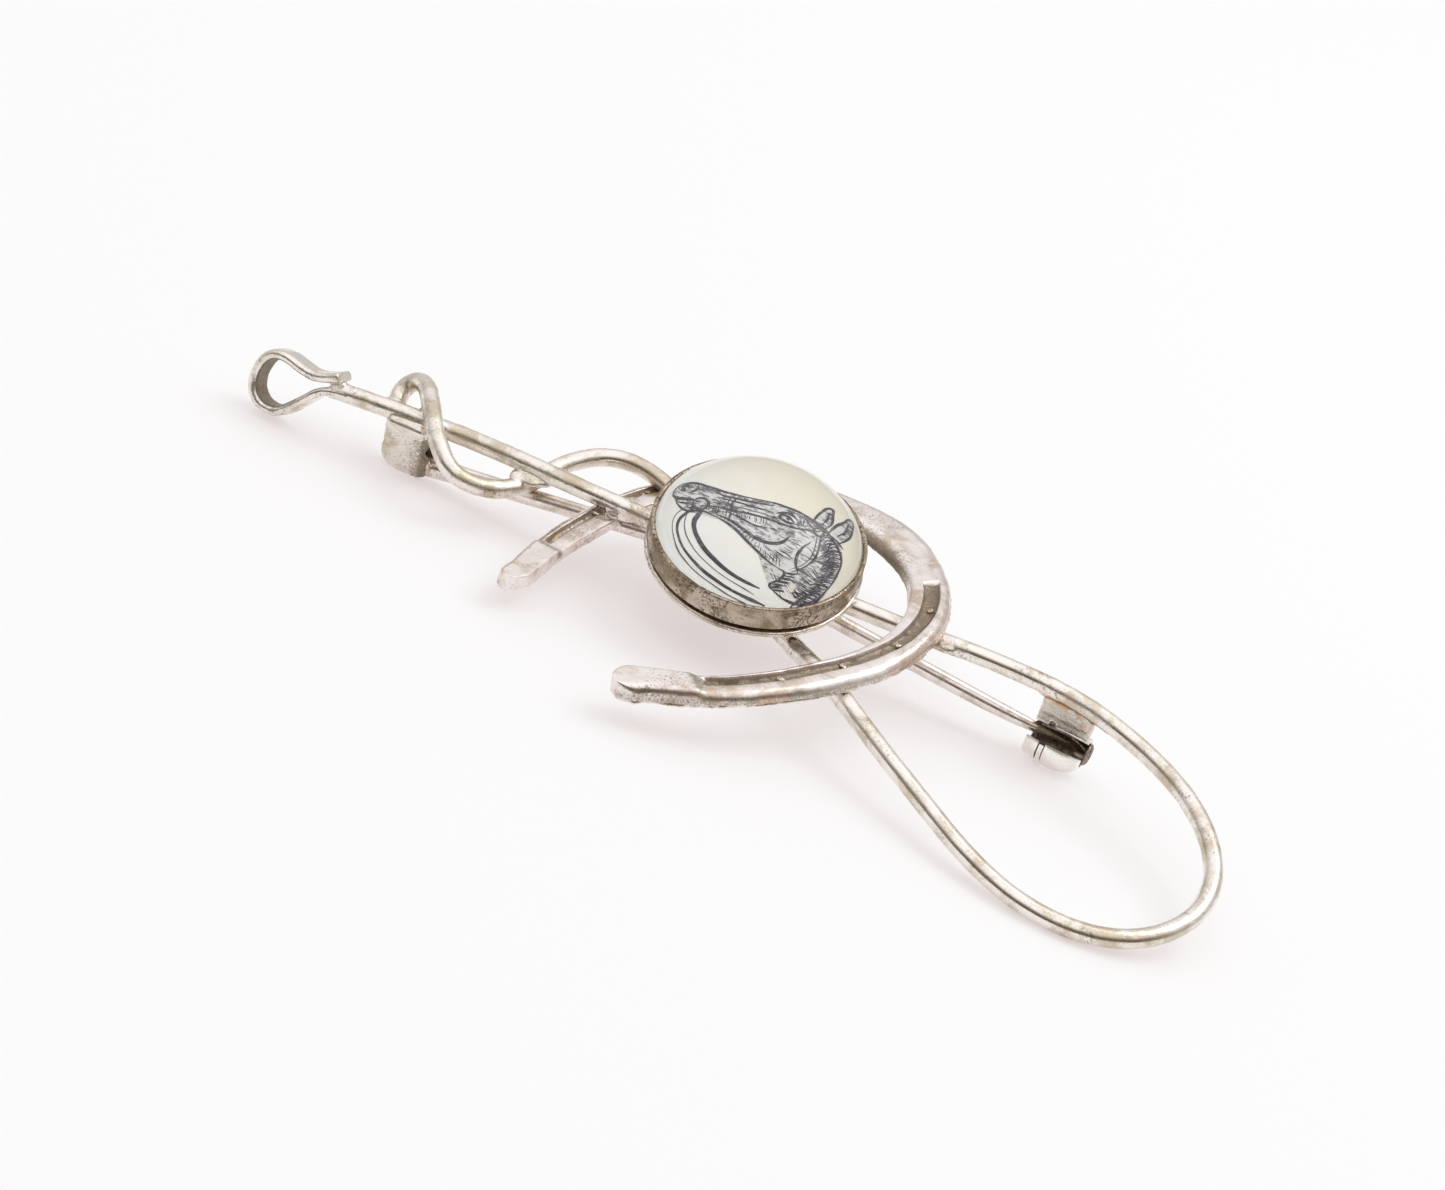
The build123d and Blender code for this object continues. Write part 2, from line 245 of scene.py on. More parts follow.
def piece(name, bm, material, body="brooch", sharpFrom=40, stands=()):
    # Finishes a bmesh drawn in millimetres as an object that rides on a body
    for face in clean(bm).faces:
        face.smooth = True
    for edge in bm.edges:
        edge.smooth = len(edge.link_faces) != 2 or edge.calc_face_angle(0) < radians(sharpFrom)
    mesh = asMesh(name, moved(bm, toTable))
    mesh.materials.append(material)
    obj = link(bpy.data.objects.new(name, mesh))
    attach(obj, body)
    if stands:
        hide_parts(*stands)


def newCurve(steps, **settings):
    settings = {"dimensions": "3D", "resolution_u": steps, **settings}
    return setAll(bpy.data.curves.new("curve", "CURVE"), settings)


def nurbs(points, radius, weights=None, sides=8, steps=10, flat=0):
    # A wire along a smooth route, or a ribbon where flat is the half width of its flat part
    curve = newCurve(steps, twist_mode="Z_UP" if flat else "MINIMUM", bevel_depth=radius, extrude=flat,
                     bevel_resolution=sides, use_fill_caps=True)
    spline = curve.splines.new("NURBS")
    spline.points.add(len(points) - 1)
    for i, (point, place) in enumerate(zip(spline.points, points)):
        point.co = (*place, 1)
        point.radius = weights[i] if weights else 1
    spline.order_u = 3
    spline.use_endpoint_u = True
    return meshOf(curve)


def addBezier(curve, points, radii):
    spline = curve.splines.new("BEZIER")
    spline.bezier_points.add(len(points) - 1)
    for point, place, radius in zip(spline.bezier_points, points, radii):
        point.co, point.radius = place, radius
        point.handle_left_type = point.handle_right_type = "AUTO"


def smoothLine(points, steps=16):
    # Points along a smooth line through the ones given
    curve = newCurve(steps)
    addBezier(curve, [(*place, 0, 0)[:3] for place in points], [1] * len(points))
    bm = meshOf(curve)
    line = [v.co.copy() for v in bm.verts]
    bm.free()
    return line


def pick(line, share):
    place = min(max(share, 0), 1) * (len(line) - 1)
    i = min(int(place), len(line) - 2)
    return line[i].lerp(line[i + 1], place - i)


def spun(profile, steps=96):
    # A profile of radius and height turned once round
    bm = bmesh.new()
    verts = [bm.verts.new((r, 0, z)) for r, z in profile]
    edges = [bm.edges.new(pair) for pair in zip(verts, verts[1:])]
    bmesh.ops.spin(bm, geom=verts + edges, cent=(0, 0, 0), axis=(0, 0, 1), angle=2 * pi, steps=steps,
                   use_merge=True)
    return clean(bm)


def moved(bm, matrix):
    bmesh.ops.transform(bm, matrix=matrix, verts=bm.verts)
    return bm


def uneven(bm, size, depth, seed=0):
    # Pushes each vertex along its normal by smooth noise
    bm.normal_update()
    shift = Vector((seed * 7.3, seed * 3.1, seed * 5.7))
    for v in bm.verts:
        v.co += v.normal * noise.fractal(v.co / size + shift, 0.8, 2.1, 3) * depth
    return bm


def crags(place, size):
    return noise.fractal(place / size, 0.7, 2.2, 3)


def shadeAndTarnish(bm, amount):
    # Gives each vertex the darkness of tarnish and of painted shade, 0 to 1, that the function of it returns
    bm.normal_update()
    hollow = bm.verts.layers.float.new("hollow")
    for v in bm.verts:
        v[hollow] = amount(v)
    return bm


def melted(bm, voxel, rounds):
    # One skin over lumps that lie in each other, softened where they meet
    remesh = ("REMESH", {"mode": "VOXEL", "voxel_size": voxel})
    smooth = ("SMOOTH", {"factor": 0.5, "iterations": rounds})
    return withModifiers(bm, remesh, smooth)


def ball(centre, sizes, turn=0):
    bm = bmesh.new()
    bmesh.ops.create_icosphere(bm, subdivisions=3, radius=1)
    turned = Matrix.Rotation(radians(turn), 4, "Z") @ Matrix.Diagonal((*sizes, 1))
    return moved(bm, Matrix.Translation(centre) @ turned)


def balls(rows):
    return [ball(Vector(centre), sizes, turn) for centre, sizes, turn in rows]


def kept(bm, *planes):
    # A closed copy of what lies behind each plane, given by a point and the way that is cut off
    bm = bm.copy()
    for point, way in planes:
        geom = bm.verts[:] + bm.edges[:] + bm.faces[:]
        bmesh.ops.bisect_plane(bm, geom=geom, plane_co=point, plane_no=way, clear_outer=True)
        bmesh.ops.holes_fill(bm, edges=[e for e in bm.edges if e.is_boundary])
    return bm


def gridSpot(v, columns, rows):
    # The column and the row of a vertex in a fresh grid
    return round((v.co.x + 1) / 2 * columns), round((v.co.y + 1) / 2 * rows)


def box(low, high):
    bm = bmesh.new()
    bmesh.ops.create_cube(bm, size=1)
    low, high = Vector(low), Vector(high)
    return moved(bm, Matrix.Translation((low + high) / 2) @ Matrix.Diagonal((*(high - low), 1)))


# The whip: one wire down the shaft, round the lash loop, under the crystal and once round the shaft.
# Heights are in wire diameters.
whip = {
    "diameter": 1.28,
    "shaft": [
        (-31.6, -0.25, 0), (-27, 0.2, 0), (-20.5, 0.5, 0), (-14, 0.2, 0), (-6, -0.15, 0),
        (2, -0.3, 0), (11, -0.25, 0), (18.5, 0.2, 0), (24.2, -0.35, 0),
    ],
    "loop": [
        (29.3, -2.5, 0), (33.1, -5.2, 0), (35.7, -9.2, 0), (36, -13.5, 0), (34, -17.1, 0),
        (30.5, -19.2, 0), (26, -19.3, 0.08), (21.6, -17.7, 0.31), (17.4, -15, 0.586),
        (13, -12.2, 0.938), (8.8, -9, 1.016), (4.9, -5.8, 0), (0.5, -1.9, -0.86), (-4, 1.9, -0.86),
    ],
    "lash": [
        (-8.5, 4.9, -0.547), (-12.4, 5.4, -0.547), (-15.2, 3, -0.781), (-16.2, 0.1, -0.938),
        (-17.9, -2.8, -0.469), (-20.6, -4, 0.234), (-22.8, -2.1, 0.82), (-24.4, 0.4, 1.016),
        (-25.9, 2.9, 0.703), (-27.3, 3.7, 0), (-27.9, 2.2, -0.703), (-26.9, 0.6, -1.016),
    ],
    "wobble": 0.02,
    "fusedTo": -13.6,  # from here to the hook the wire is one skin with the hinge and the solder
}


def whipWire():
    thick = whip["diameter"]
    route = [(x, y, z * thick) for x, y, z in whip["shaft"] + whip["loop"] + whip["lash"]]
    hand = random.Random(5)
    weights = [1 + hand.uniform(-1, 1) * whip["wobble"] for _ in route]
    bm = nurbs(route, thick / 2, weights, sides=10, steps=12)
    return uneven(bm, 0.9, 0.012, 1)


def makeWhip(wire):
    bm = kept(wire, ((whip["fusedTo"], 0, 0), (-1, 0, 0)))
    look = silver("whipSilver", **wireTone, warmFrom=0.44, spots=0.6, spotsFrom=0.56, rough=0.28)
    piece("whip_wire", bm, look, stands=("frame",))


# The hook: the shaft's end beaten flat, turned round in a loop and back onto the shaft
hook = {
    "start": (-31.6, -0.25, 0), "across": (0.15, 0.87, -0.47), "width": 1.95, "thick": 0.66,
    "route": [
        (1.4, 0), (0.6, -0.02), (-0.5, -0.3), (-2.2, -2.3), (-3.4, -3.2), (-5, -2.9), (-5.7, -1.4),
        (-5.2, 0.4), (-3.9, 0.95), (-2, 0.45), (-0.7, 0.45), (0.7, 1.15),
    ],
    "weights": [0.4, 0.62, 0.9, 1, 1, 1, 1, 1, 1, 1, 1, 1.05],
    "eye": (-3.4, -1.2), "eyeInsideDark": 0.85, "eyeReach": 3.6, "eyeTo": -32.4,
}


def hookRibbon():
    across = Vector(hook["across"]).normalized()
    along = Vector((1, 0, 0))
    along = (along - across * along.dot(across)).normalized()
    z = -across
    half = hook["thick"] / 2
    route = [(x, y, 0) for x, y in hook["route"]]
    bm = nurbs(route, half, hook["weights"], sides=4, steps=12, flat=hook["width"] / 2 - half)
    place = axesMatrix(hook["start"], along, z.cross(along), z)
    return uneven(moved(bm, place), 1.1, 0.02, 2), place @ Vector((*hook["eye"], 0))


# The horseshoe, swept from heel to heel. Rows are shares of its length from the toe and of its half width.
shoe = {
    "centre": (1.93, 0.09), "topZ": 0.455, "riseX": 0.0955, "riseY": -0.155, "turn": 57.8,
    "length": 29.3, "width": 24.9, "toeShare": 0.403,
    "outer": [
        (0, 0, 0), (0.034, 0.31, 0.33), (0.115, 0.625, 0.635), (0.25, 0.86, 0.87),
        (0.41, 0.975, 0.985), (0.55, 0.99, 0.985), (0.715, 0.915, 0.91), (0.86, 0.787, 0.778),
        (0.975, 0.65, 0.605),
    ],
    "inner": [
        (0.137, 0, 0), (0.154, 0.31, 0.31), (0.2, 0.5, 0.5), (0.312, 0.705, 0.709), (0.45, 0.785, 0.788),
        (0.585, 0.775, 0.775), (0.72, 0.695, 0.715), (0.833, 0.61, 0.612), (0.96, 0.475, 0.4),
    ],
    "tip": (1.017, 0.54, 0.475),
    "heelTurns": [14, 28, 42, 56, 68, 78],   # degrees round each heel's end
    "stations": 90,
    "grooveFrom": 0.2, "grooveTo": 0.865,    # shares of the way from toe to heel
    "calkFrom": 0.885, "calkRise": 0.24,
    # The groove's edges near the toe and near the heel, as shares of the way from outer to inner edge
    "groove": {"left": ((0.28, 0.6), (0.3, 0.54)), "right": ((0.28, 0.65), (0.52, 0.89))},
    "depth": 0.42, "lip": 0.02, "brink": -0.02,
    "bedTarnish": (0.6, 0.85), "wallTarnish": 0.45, "seamTarnish": 0.45,    # the bed's: left, right
    "nails": [0.29, 0.43, 0.57, 0.71], "nailZ": -0.26,
    "nailSizes": [(0.22, 0.32), (0.17, 0.24), (0.12, 0.17)],
    # Each lane: share of the way from outer to inner edge, height, and how dark it is made; on the outer
    # side's rounding that is a painted dark reflection band
    "outerEdge": [
        (0.05, -0.96, 0), (-0.015, -0.95, 0), (-0.02, -0.88, 0.1), (0, -0.8, 0.45), (0.005, -0.64, 0.5),
        (0.03, -0.44, 0.42), (0.07, -0.27, 0.15), (0.13, -0.12, 0), (0.19, -0.04, 0), (0.25, 0, 0),
    ],
    "innerEdge": [
        (0.955, 0, 0), (0.985, -0.02, 0), (1, -0.09, 0.25), (1, -0.8, 0.35), (0.95, -0.95, 0),
    ],
    "toeBevel": [
        (0.66, 0, 0.1), (0.76, -0.1, 0.42), (0.88, -0.34, 0.72), (1, -0.76, 0.88), (0.95, -0.95, 0),
    ],
    "bevelTo": 0.34, "footZ": -0.8, "ragged": 0.06, "bedRough": 0.07,
    # A painted dark reflection band, copper-brown, runs along the outer edge at these shares of the way from
    # toe to right heel
    "paintedReflection": [0.2, 0.23, 0.26, 0.29, 0.32, 0.35, 0.38, 0.41, 0.44, 0.47, 0.5, 0.74, 0.77],
    "paintedReflectionZ": -0.5, "paintedReflectionReach": 1.05, "paintedReflectionTone": (0.62, 0.38, 0.25, 1),
}


def shoeMatrix():
    normal = Vector((-shoe["riseX"], -shoe["riseY"], 1)).normalized()
    along = Vector((1, 0, shoe["riseX"])).normalized()
    across = normal.cross(along)
    turn = radians(shoe["turn"])
    toHeels = -(along * cos(turn) + across * sin(turn))
    x, y = shoe["centre"]
    origin = (x, y, shoe["topZ"] + shoe["riseX"] * x + shoe["riseY"] * y)
    return axesMatrix(origin, toHeels, normal.cross(toHeels), normal)


def shoePoint(row, side):
    x = (row[0] - shoe["toeShare"]) * shoe["length"]
    return Vector((x, side * row[2 if side > 0 else 1] * shoe["width"] / 2, 0))


def shoeRail(rows):
    left = [shoePoint(row, -1) for row in reversed(rows)]
    return smoothLine(left + [shoePoint(row, 1) for row in rows[1:]])


def shoeStations():
    # Places from the left heel, -1, through the toe, 0, to the right heel, 1, closer where the form steps
    step, count = 0.003, shoe["stations"]
    marks = [shoe[k] + s * step for k in ("grooveFrom", "grooveTo", "calkFrom") for s in (-1, 1)]
    even = [i / count for i in range(count + 1) if all(abs(i / count - m) > 0.5 / count for m in marks)]
    side = sorted(even + marks)
    return [-x for x in reversed(side) if x > 0] + side


def ease(value):
    value = min(max(value, 0), 1)
    return value * value * (3 - 2 * value)


def makeHorseshoe():
    outer, inner = shoeRail(shoe["outer"]), shoeRail(shoe["inner"])
    stations = [(f, 0) for f in shoeStations()]
    ends = [(1, turn) for turn in shoe["heelTurns"]]
    stations = [(-f, turn) for f, turn in reversed(ends)] + stations + ends

    def edges(station):
        f, turn = station
        a, b = pick(outer, (f + 1) / 2), pick(inner, (f + 1) / 2)
        if not turn:
            return a, b
        tip = shoePoint(shoe["tip"], 1 if f > 0 else -1)
        middle = (a + b) / 2
        forward = (tip - middle) * sin(radians(turn))
        return [middle + (edge - middle) * cos(radians(turn)) + forward for edge in (a, b)]

    def grooveShares(f):
        toe, heel = shoe["groove"]["right" if f > 0 else "left"]
        far = ease((abs(f) - shoe["grooveFrom"]) / 0.45)
        return [a + (b - a) * far for a, b in zip(toe, heel)]

    def laneRow(station):
        f, turn = station
        near, far = grooveShares(f)
        sunk = shoe["grooveFrom"] < abs(f) < shoe["grooveTo"] and not turn
        rise = shoe["calkRise"] if abs(f) > shoe["calkFrom"] else 0
        floor = -shoe["depth"] if sunk else 0
        bevel = 1 - ease(abs(f) / shoe["bevelTo"])
        inner = [tuple(a + (b - a) * bevel for a, b in zip(flat, sloped))
                 for flat, sloped in zip(shoe["innerEdge"], shoe["toeBevel"])]
        lip, brink = shoe["lip"], (shoe["brink"] if sunk else 0)
        bed, wall = (shoe["bedTarnish"][f > 0], shoe["wallTarnish"]) if sunk else (0, 0)
        middle = [(near - lip, 0, 0), (near, brink, wall), (near + lip, floor, bed), (far - lip, floor, bed),
                  (far, brink, wall), (far + lip, 0, 0)]
        seam = shoe["seamTarnish"] if abs(abs(f) - shoe["calkFrom"]) < 0.004 else 0
        return [(share, z + rise * ease((z + 0.6) / 0.5), tarnishShadeFill + seam * ease((z + 0.5) / 0.4))
                for share, z, tarnishShadeFill in shoe["outerEdge"] + middle + inner]

    rows = [(edges(s), laneRow(s)) for s in stations]
    lanes = len(rows[0][1])
    bm = bmesh.new()
    bmesh.ops.create_grid(bm, x_segments=len(stations) - 1, y_segments=lanes, size=1)
    hollow = bm.verts.layers.float.new("hollow")
    for v in bm.verts:
        i, j = gridSpot(v, len(stations) - 1, lanes)
        (a, b), lane = rows[i]
        share, height, v[hollow] = lane[j % lanes]
        v.co = a.lerp(b, share) + Vector((0, 0, height))
    bmesh.ops.remove_doubles(bm, verts=bm.verts, dist=0.0005)
    bmesh.ops.holes_fill(bm, edges=[e for e in bm.edges if e.is_boundary])
    bmesh.ops.recalc_face_normals(bm, faces=bm.faces)
    bm = withModifiers(bm, ("SUBSURF", {"levels": 1, "render_levels": 1}))
    bm.normal_update()
    hollow = bm.verts.layers.float["hollow"]
    for v in bm.verts:
        # A ragged fin along the foot, as a casting has, and a rough tarnished bed in the groove
        if v.co.z < shoe["footZ"]:
            v.co += v.normal * shoe["ragged"] * crags(v.co, 0.4)
        elif v[hollow] > 0.6 and v.normal.z > 0.7:
            v.co.z += shoe["bedRough"] * crags(v.co, 0.45)
    uneven(bm, 1.3, 0.03, 3)
    toShoe = shoeMatrix()
    moved(bm, toShoe)
    # The stains here are painted: a copper-brown dark reflection band low on the outer rounding
    low = Vector((0, 0, shoe["paintedReflectionZ"]))
    stains = [(toShoe @ (pick(outer, (f + 1) / 2) + low), shoe["paintedReflectionReach"], shoe["paintedReflectionTone"])
              for f in shoe["paintedReflection"]]
    look = silver("shoeSilver", stains=stains, spread=4, stain=0.4, ragged=1.6, grain=0.17, spots=0.55)
    piece("horseshoe", bm, look)

    hand = random.Random(11)
    stubs = []
    for side in (-1, 1):
        for share in shoe["nails"]:
            a, b = edges((side * share, 0))
            near, far = grooveShares(side * share)
            spot = a.lerp(b, near + (far - near) * hand.uniform(0.35, 0.65)) + Vector((0, 0, shoe["nailZ"]))
            sizes = [hand.uniform(*limits) for limits in shoe["nailSizes"]]
            stubs.append(ball(spot, sizes, hand.uniform(0, 180)))
    bm = moved(join(*stubs), toShoe)
    uneven(bm, 0.3, 0.07, 4)
    look = silver("nailSilver", bright=(0.72, 0.62, 0.52, 1), warm=(0.45, 0.36, 0.26, 1), rough=0.45)
    piece("nail_heads", bm, look)


# The setting: a back plate, a near-black band above it that is painted shadow in the gap under the cup, and
# the cup whose thin rim holds the crystal
setting = {
    "centre": (-0.05, -0.2), "raggedFrom": 7,
    "plate": [(0, 0.5), (7.24, 0.5), (7.38, 0.56), (7.42, 0.68), (7.38, 0.82), (7.24, 0.88), (6.3, 0.88)],
    "neck": [(6.75, 0.8), (6.7, 1.3)],
    "cup": [
        (6.5, 1.22), (7.2, 1.19), (7.31, 1.22), (7.36, 1.3), (7.35, 1.4), (7.31, 1.48), (7.32, 1.7),
        (7.33, 2.3), (7.31, 2.62), (7.27, 2.7), (7.28, 2.76), (7.31, 2.82), (7.3, 2.89), (7.24, 2.94),
        (7.14, 2.955), (7.04, 2.93), (7, 2.86), (6.99, 2.6), (6.99, 1.36), (6.4, 1.34),
    ],
}


def atSetting(bm):
    x, y = setting["centre"]
    return moved(bm, Matrix.Translation((x, y, 0)))


def makeSetting():
    plate = atSetting(spun(setting["plate"], 200))
    middle = Vector((*setting["centre"], 0.7))
    for v in plate.verts:
        out = v.co - middle
        if out.length > setting["raggedFrom"]:
            ragged = crags(v.co, 0.5)
            v.co += Vector((out.x, out.y, 0)).normalized() * ragged * 0.05 + Vector((0, 0, ragged * 0.025))
    rough = silver("plateSilver", spotsFrom=0.5, grain=0.15, bump=0.02, bright=(0.82, 0.74, 0.66, 1),
                   rough=0.45)
    piece("back_plate", plate, rough, sharpFrom=70)
    # Near black: painted shadow in the gap between the plate and the cup
    neck = silver("neckSilver", bright=(0.1, 0.08, 0.07, 1), warm=(0.06, 0.05, 0.04, 1),
                  dark=(0.02, 0.015, 0.01, 1), smooth=0.5, rough=0.8)
    piece("cup_neck", atSetting(spun(setting["neck"])), neck)
    cup = atSetting(spun(setting["cup"], 160))
    uneven(cup, 1.8, 0.03, 6)
    uneven(cup, 0.4, 0.008, 7)
    tarnished = silver("cupSilver", bright=(0.52, 0.44, 0.36, 1), warm=(0.28, 0.22, 0.145, 1),
                       dark=(0.08, 0.06, 0.035, 1), warmFrom=0.42, spots=0.85, spotsFrom=0.51, smooth=0.2,
                       rough=0.4, bump=0.02)
    piece("crystal_cup", cup, tarnished, sharpFrom=60)


# The crystal, which closes over the picture and swells a little over the rim
crystal = {
    "curve": [
        (6.98, 2.55), (6.93, 2.95), (6.7, 3.45), (6.25, 4), (5.5, 4.75), (4.5, 5.45), (3.2, 5.95),
        (1.6, 6.25), (0, 6.34),
    ],
    "foot": [(0, 1.4), (6.82, 1.4), (6.86, 1.9), (6.98, 2.5)],
}


def makeCrystal():
    cap = [(p.x, p.y) for p in smoothLine(crystal["curve"], 8)]
    cap[-1] = (0, cap[-1][1])
    bm = atSetting(spun(crystal["foot"] + cap, 160))
    material, s = newShader("crystal")
    place = s.place()
    haze = s.noise(place, 3, 2)
    glass = s.add("BsdfPrincipled", {}, {
        "Base Color": (0.985, 0.99, 0.965, 1), "Roughness": s.soft(haze, 0.4, 0.7, 0, 0.02),
        "IOR": 1.45, "Transmission Weight": 1})
    clear = s.add("BsdfTransparent")
    shadow = s.add("LightPath", out="Is Shadow Ray")
    s.output(s.add("MixShader", {}, {0: shadow, 1: glass, 2: clear}))
    piece("crystal", bm, material, stands=("crystal_dome",), sharpFrom=60)


# The picture: a horse's head and bridle in ink on the disc. Strokes are drawn in millimetres along the head,
# from the poll at 0 to the nose, and up from its axis.
picture = {
    "poll": (3.5, 0.3), "nose": (-4.85, 2), "lean": 12.5, "scale": 1.15, "height": 1.855,
    "fillHeight": 1.842, "outline": 0.15, "ring": 0.14, "strapEdge": 0.055, "lockWidths": (0.06, 0.14),
    "lockLengths": (0.6, 1.15),
    "head": [
        (-0.4, 0.5), (0.4, 0.9), (1.5, 1.15), (2.6, 1.08), (3.8, 0.82), (5, 0.6), (6, 0.58), (6.8, 0.62),
        (7.35, 0.42), (7.62, 0), (7.6, -0.4), (7.3, -0.6), (7.2, -0.85), (6.8, -1.12), (6.35, -1.12),
        (5.9, -0.95), (5.1, -1.08), (4.2, -1.35), (3.2, -1.78), (2.2, -2.2), (1.3, -2.42), (0.95, -2.55),
        (1, -3.1), (1.25, -3.7), (0.8, -4.1), (0, -4.2), (-0.7, -3.9), (-1.25, -3.2), (-1.5, -2.2),
        (-1.5, -1.1), (-1.1, -0.1),
    ],
    "ears": [
        [(-0.45, 0.45), (-0.85, 1.1), (-0.85, 1.8), (-0.55, 2.4), (-0.2, 1.9), (0, 1.2), (0.05, 0.75)],
        [(0.35, 0.8), (0.15, 1.4), (0.3, 1.95), (0.5, 2.3), (0.75, 1.8), (0.85, 1.3), (0.85, 0.95)],
    ],
    # A width, in units of 0.015 mm, then the points
    "strokes": [
        (9, [(-0.3, 0.95), (-0.55, 1.5), (-0.5, 2.1)]), (7, [(0.45, 1.1), (0.4, 1.6), (0.5, 2)]),
        (13, [(1.55, 0.62), (1.9, 0.78), (2.3, 0.7), (2.65, 0.45)]),
        (12, [(1.6, 0.35), (1.95, 0.55), (2.4, 0.42), (2, 0.22), (1.6, 0.35)]),
        (20, [(1.88, 0.4), (2.05, 0.42)]),
        (16, [(6.75, 0.3), (7.05, 0.38), (7.2, 0.15), (7, 0.02)]),
        (9, [(6.55, 0.42), (6.6, 0.15), (6.85, -0.1)]),
        (14, [(7.5, -0.42), (7.1, -0.52), (6.6, -0.42), (6.2, -0.5)]),
        (8, [(7.25, -0.8), (6.9, -0.75), (6.5, -0.7)]), (9, [(6.7, -0.95), (6.3, -0.9), (6, -0.8)]),
        (12, [(5.2, -0.95), (4.4, -1.05), (3.6, -1.3), (2.9, -1.45), (2.2, -1.35), (1.7, -1), (1.5, -0.5)]),
        (8, [(4.9, -0.6), (4.1, -0.65), (3.3, -0.75), (2.7, -0.6)]),
        (8, [(5.6, 0.1), (4.6, 0.18), (3.6, 0.3), (2.9, 0.42)]),
        (10, [(2.9, 0.8), (3.9, 0.55), (5, 0.35), (5.8, 0.3)]),
        (12, [(0.35, -2.2), (0.75, -1.6), (0.8, -0.9), (0.55, -0.2)]),
    ],
    # Straps: a width and the points, drawn as one thin edge and one thick one
    "straps": [
        (30, [(0.45, 0.75), (1.3, 0.3), (2.8, 0.02), (4.4, -0.22), (6.05, -0.5)]),
        (26, [(4.75, 0.66), (4.9, 0.1), (4.75, -0.5), (4.65, -1.18)]),
        (24, [(0.45, 0.6), (0.95, 0.85), (1.3, 1.12)]),
        (22, [(0.4, 0.55), (0.15, -0.6), (0.3, -1.6), (0.75, -2.3)]),
        (24, [(0.3, 0.7), (-0.35, 0.6), (-0.9, 0.35)]),
        (62, [(6.1, -0.8), (6.2, -1.7), (5.6, -2.8), (4.4, -3.7), (2.9, -4.3), (1.6, -4.5)]),
        (40, [(6.25, -0.7), (6.85, -1.7), (6.6, -3), (5.5, -4.2), (3.9, -4.95), (2.2, -5.25), (0.9, -5.2)]),
    ],
    "rings": [(6.1, -0.55, 0.34), (0.42, 0.58, 0.22), (4.85, -0.3, 0.18)],
    # Hatching between two lines: how many strokes, width in hundredths of a millimetre, the two lines
    "hatches": [
        (30, 9, [(-0.3, 0.3), (-0.9, -0.3), (-1.25, -1.2), (-1.3, -2.2), (-1.05, -3.1), (-0.6, -3.8)],
         [(0.1, -0.6), (-0.3, -1.2), (-0.5, -1.9), (-0.5, -2.6), (-0.3, -3.2), (0.2, -3.7)]),
        (18, 9, [(0.95, -2.5), (1, -3.1), (1.2, -3.7), (0.8, -4.05)],
         [(0.2, -2.2), (0.25, -2.9), (0.4, -3.4), (0.2, -3.8)]),
        (16, 6, [(-0.1, -1.4), (0.1, -2.6), (0, -3.6)], [(-1.1, -1.9), (-1, -2.9), (-0.5, -4)]),
        (22, 5, [(1.3, -2.35), (2.3, -2.1), (3.3, -1.65), (4.4, -1.2), (5.3, -0.98)],
         [(1.5, -1.7), (2.4, -1.6), (3.2, -1.3), (4.2, -0.98), (5.1, -0.8)]),
        (24, 5, [(1.5, 1.1), (2.7, 1.02), (3.9, 0.76), (5.1, 0.56), (6, 0.54)],
         [(1.9, 0.82), (3, 0.78), (4, 0.52), (5.2, 0.34), (6.2, 0.3)]),
        (14, 5, [(6.2, 0.5), (6.8, 0.55), (7.3, 0.35), (7.5, 0)],
         [(6.1, 0.2), (6.5, 0.2), (6.8, 0), (7, -0.3)]),
        (12, 5, [(0.7, 0.85), (1.4, 0.95), (1.6, 0.5)], [(0.9, 0.4), (1.2, 0.4), (1.2, 0.05)]),
        (16, 5, [(1, -0.6), (1.05, -1.2), (1.2, -1.8), (1.6, -2.2)],
         [(1.5, -0.6), (1.7, -1.2), (2, -1.6), (2.4, -1.9)]),
        (14, 5, [(2.9, -0.15), (4, -0.35), (4.6, -0.4)], [(2.8, -0.6), (3.8, -0.7), (4.5, -0.8)]),
        (12, 6, [(5.2, -0.45), (6, -0.65)], [(5.1, -0.9), (6.1, -0.95)]),
        (10, 6, [(-0.75, 0.9), (-0.8, 1.7), (-0.6, 2.2)], [(-0.25, 0.85), (-0.35, 1.4), (-0.4, 1.9)]),
        (8, 6, [(0.3, 1), (0.25, 1.6), (0.45, 2.1)], [(0.65, 1.1), (0.6, 1.5), (0.6, 1.8)]),
    ],
    # Locks of hair that start along a line and fall one way
    "hair": [
        (34, (0.75, -0.85), [(-0.3, 0.75), (-1, 0.2), (-1.4, -0.7), (-1.55, -1.7), (-1.4, -2.8), (-1, -3.6)]),
        (7, (0.9, 0.15), [(-0.2, 0.75), (0.15, 0.9), (0.45, 0.95)]),
    ],
}


def onDisc(point, height):
    poll, nose = Vector(picture["poll"]), Vector(picture["nose"])
    way = (nose - poll).normalized()
    up = Vector((way.y, -way.x))
    spot = poll + (way * point[0] + up * point[1]) * picture["scale"]
    lean = Matrix.Rotation(radians(picture["lean"]), 2)
    spot = lean @ spot + Vector(setting["centre"])
    return Vector((spot.x, spot.y, height))


def strokeCurve(strokes, height):
    # Flat tapering strokes, each a width in millimetres and its points
    curve = newCurve(6, bevel_depth=0.5, bevel_resolution=1)
    for width, points in strokes:
        radii = [width * 0.35] + [width] * (len(points) - 2) + [width * 0.35]
        addBezier(curve, [onDisc(point, height) for point in points], radii)
    bm = meshOf(curve)
    for v in bm.verts:
        v.co.z = height + (v.co.z - height) * 0.04
    return bm


def filled(outlines, height):
    # Flat faces inside closed smooth outlines
    bm = bmesh.new()
    for points in outlines:
        line = smoothLine(list(points) + [points[0]], 6)
        verts = [bm.verts.new(onDisc(p, height)) for p in line[:-1]]
        face = bmesh.ops.contextual_create(bm, geom=verts)["faces"]
        bmesh.ops.triangulate(bm, faces=face, ngon_method="EAR_CLIP")
    return bm


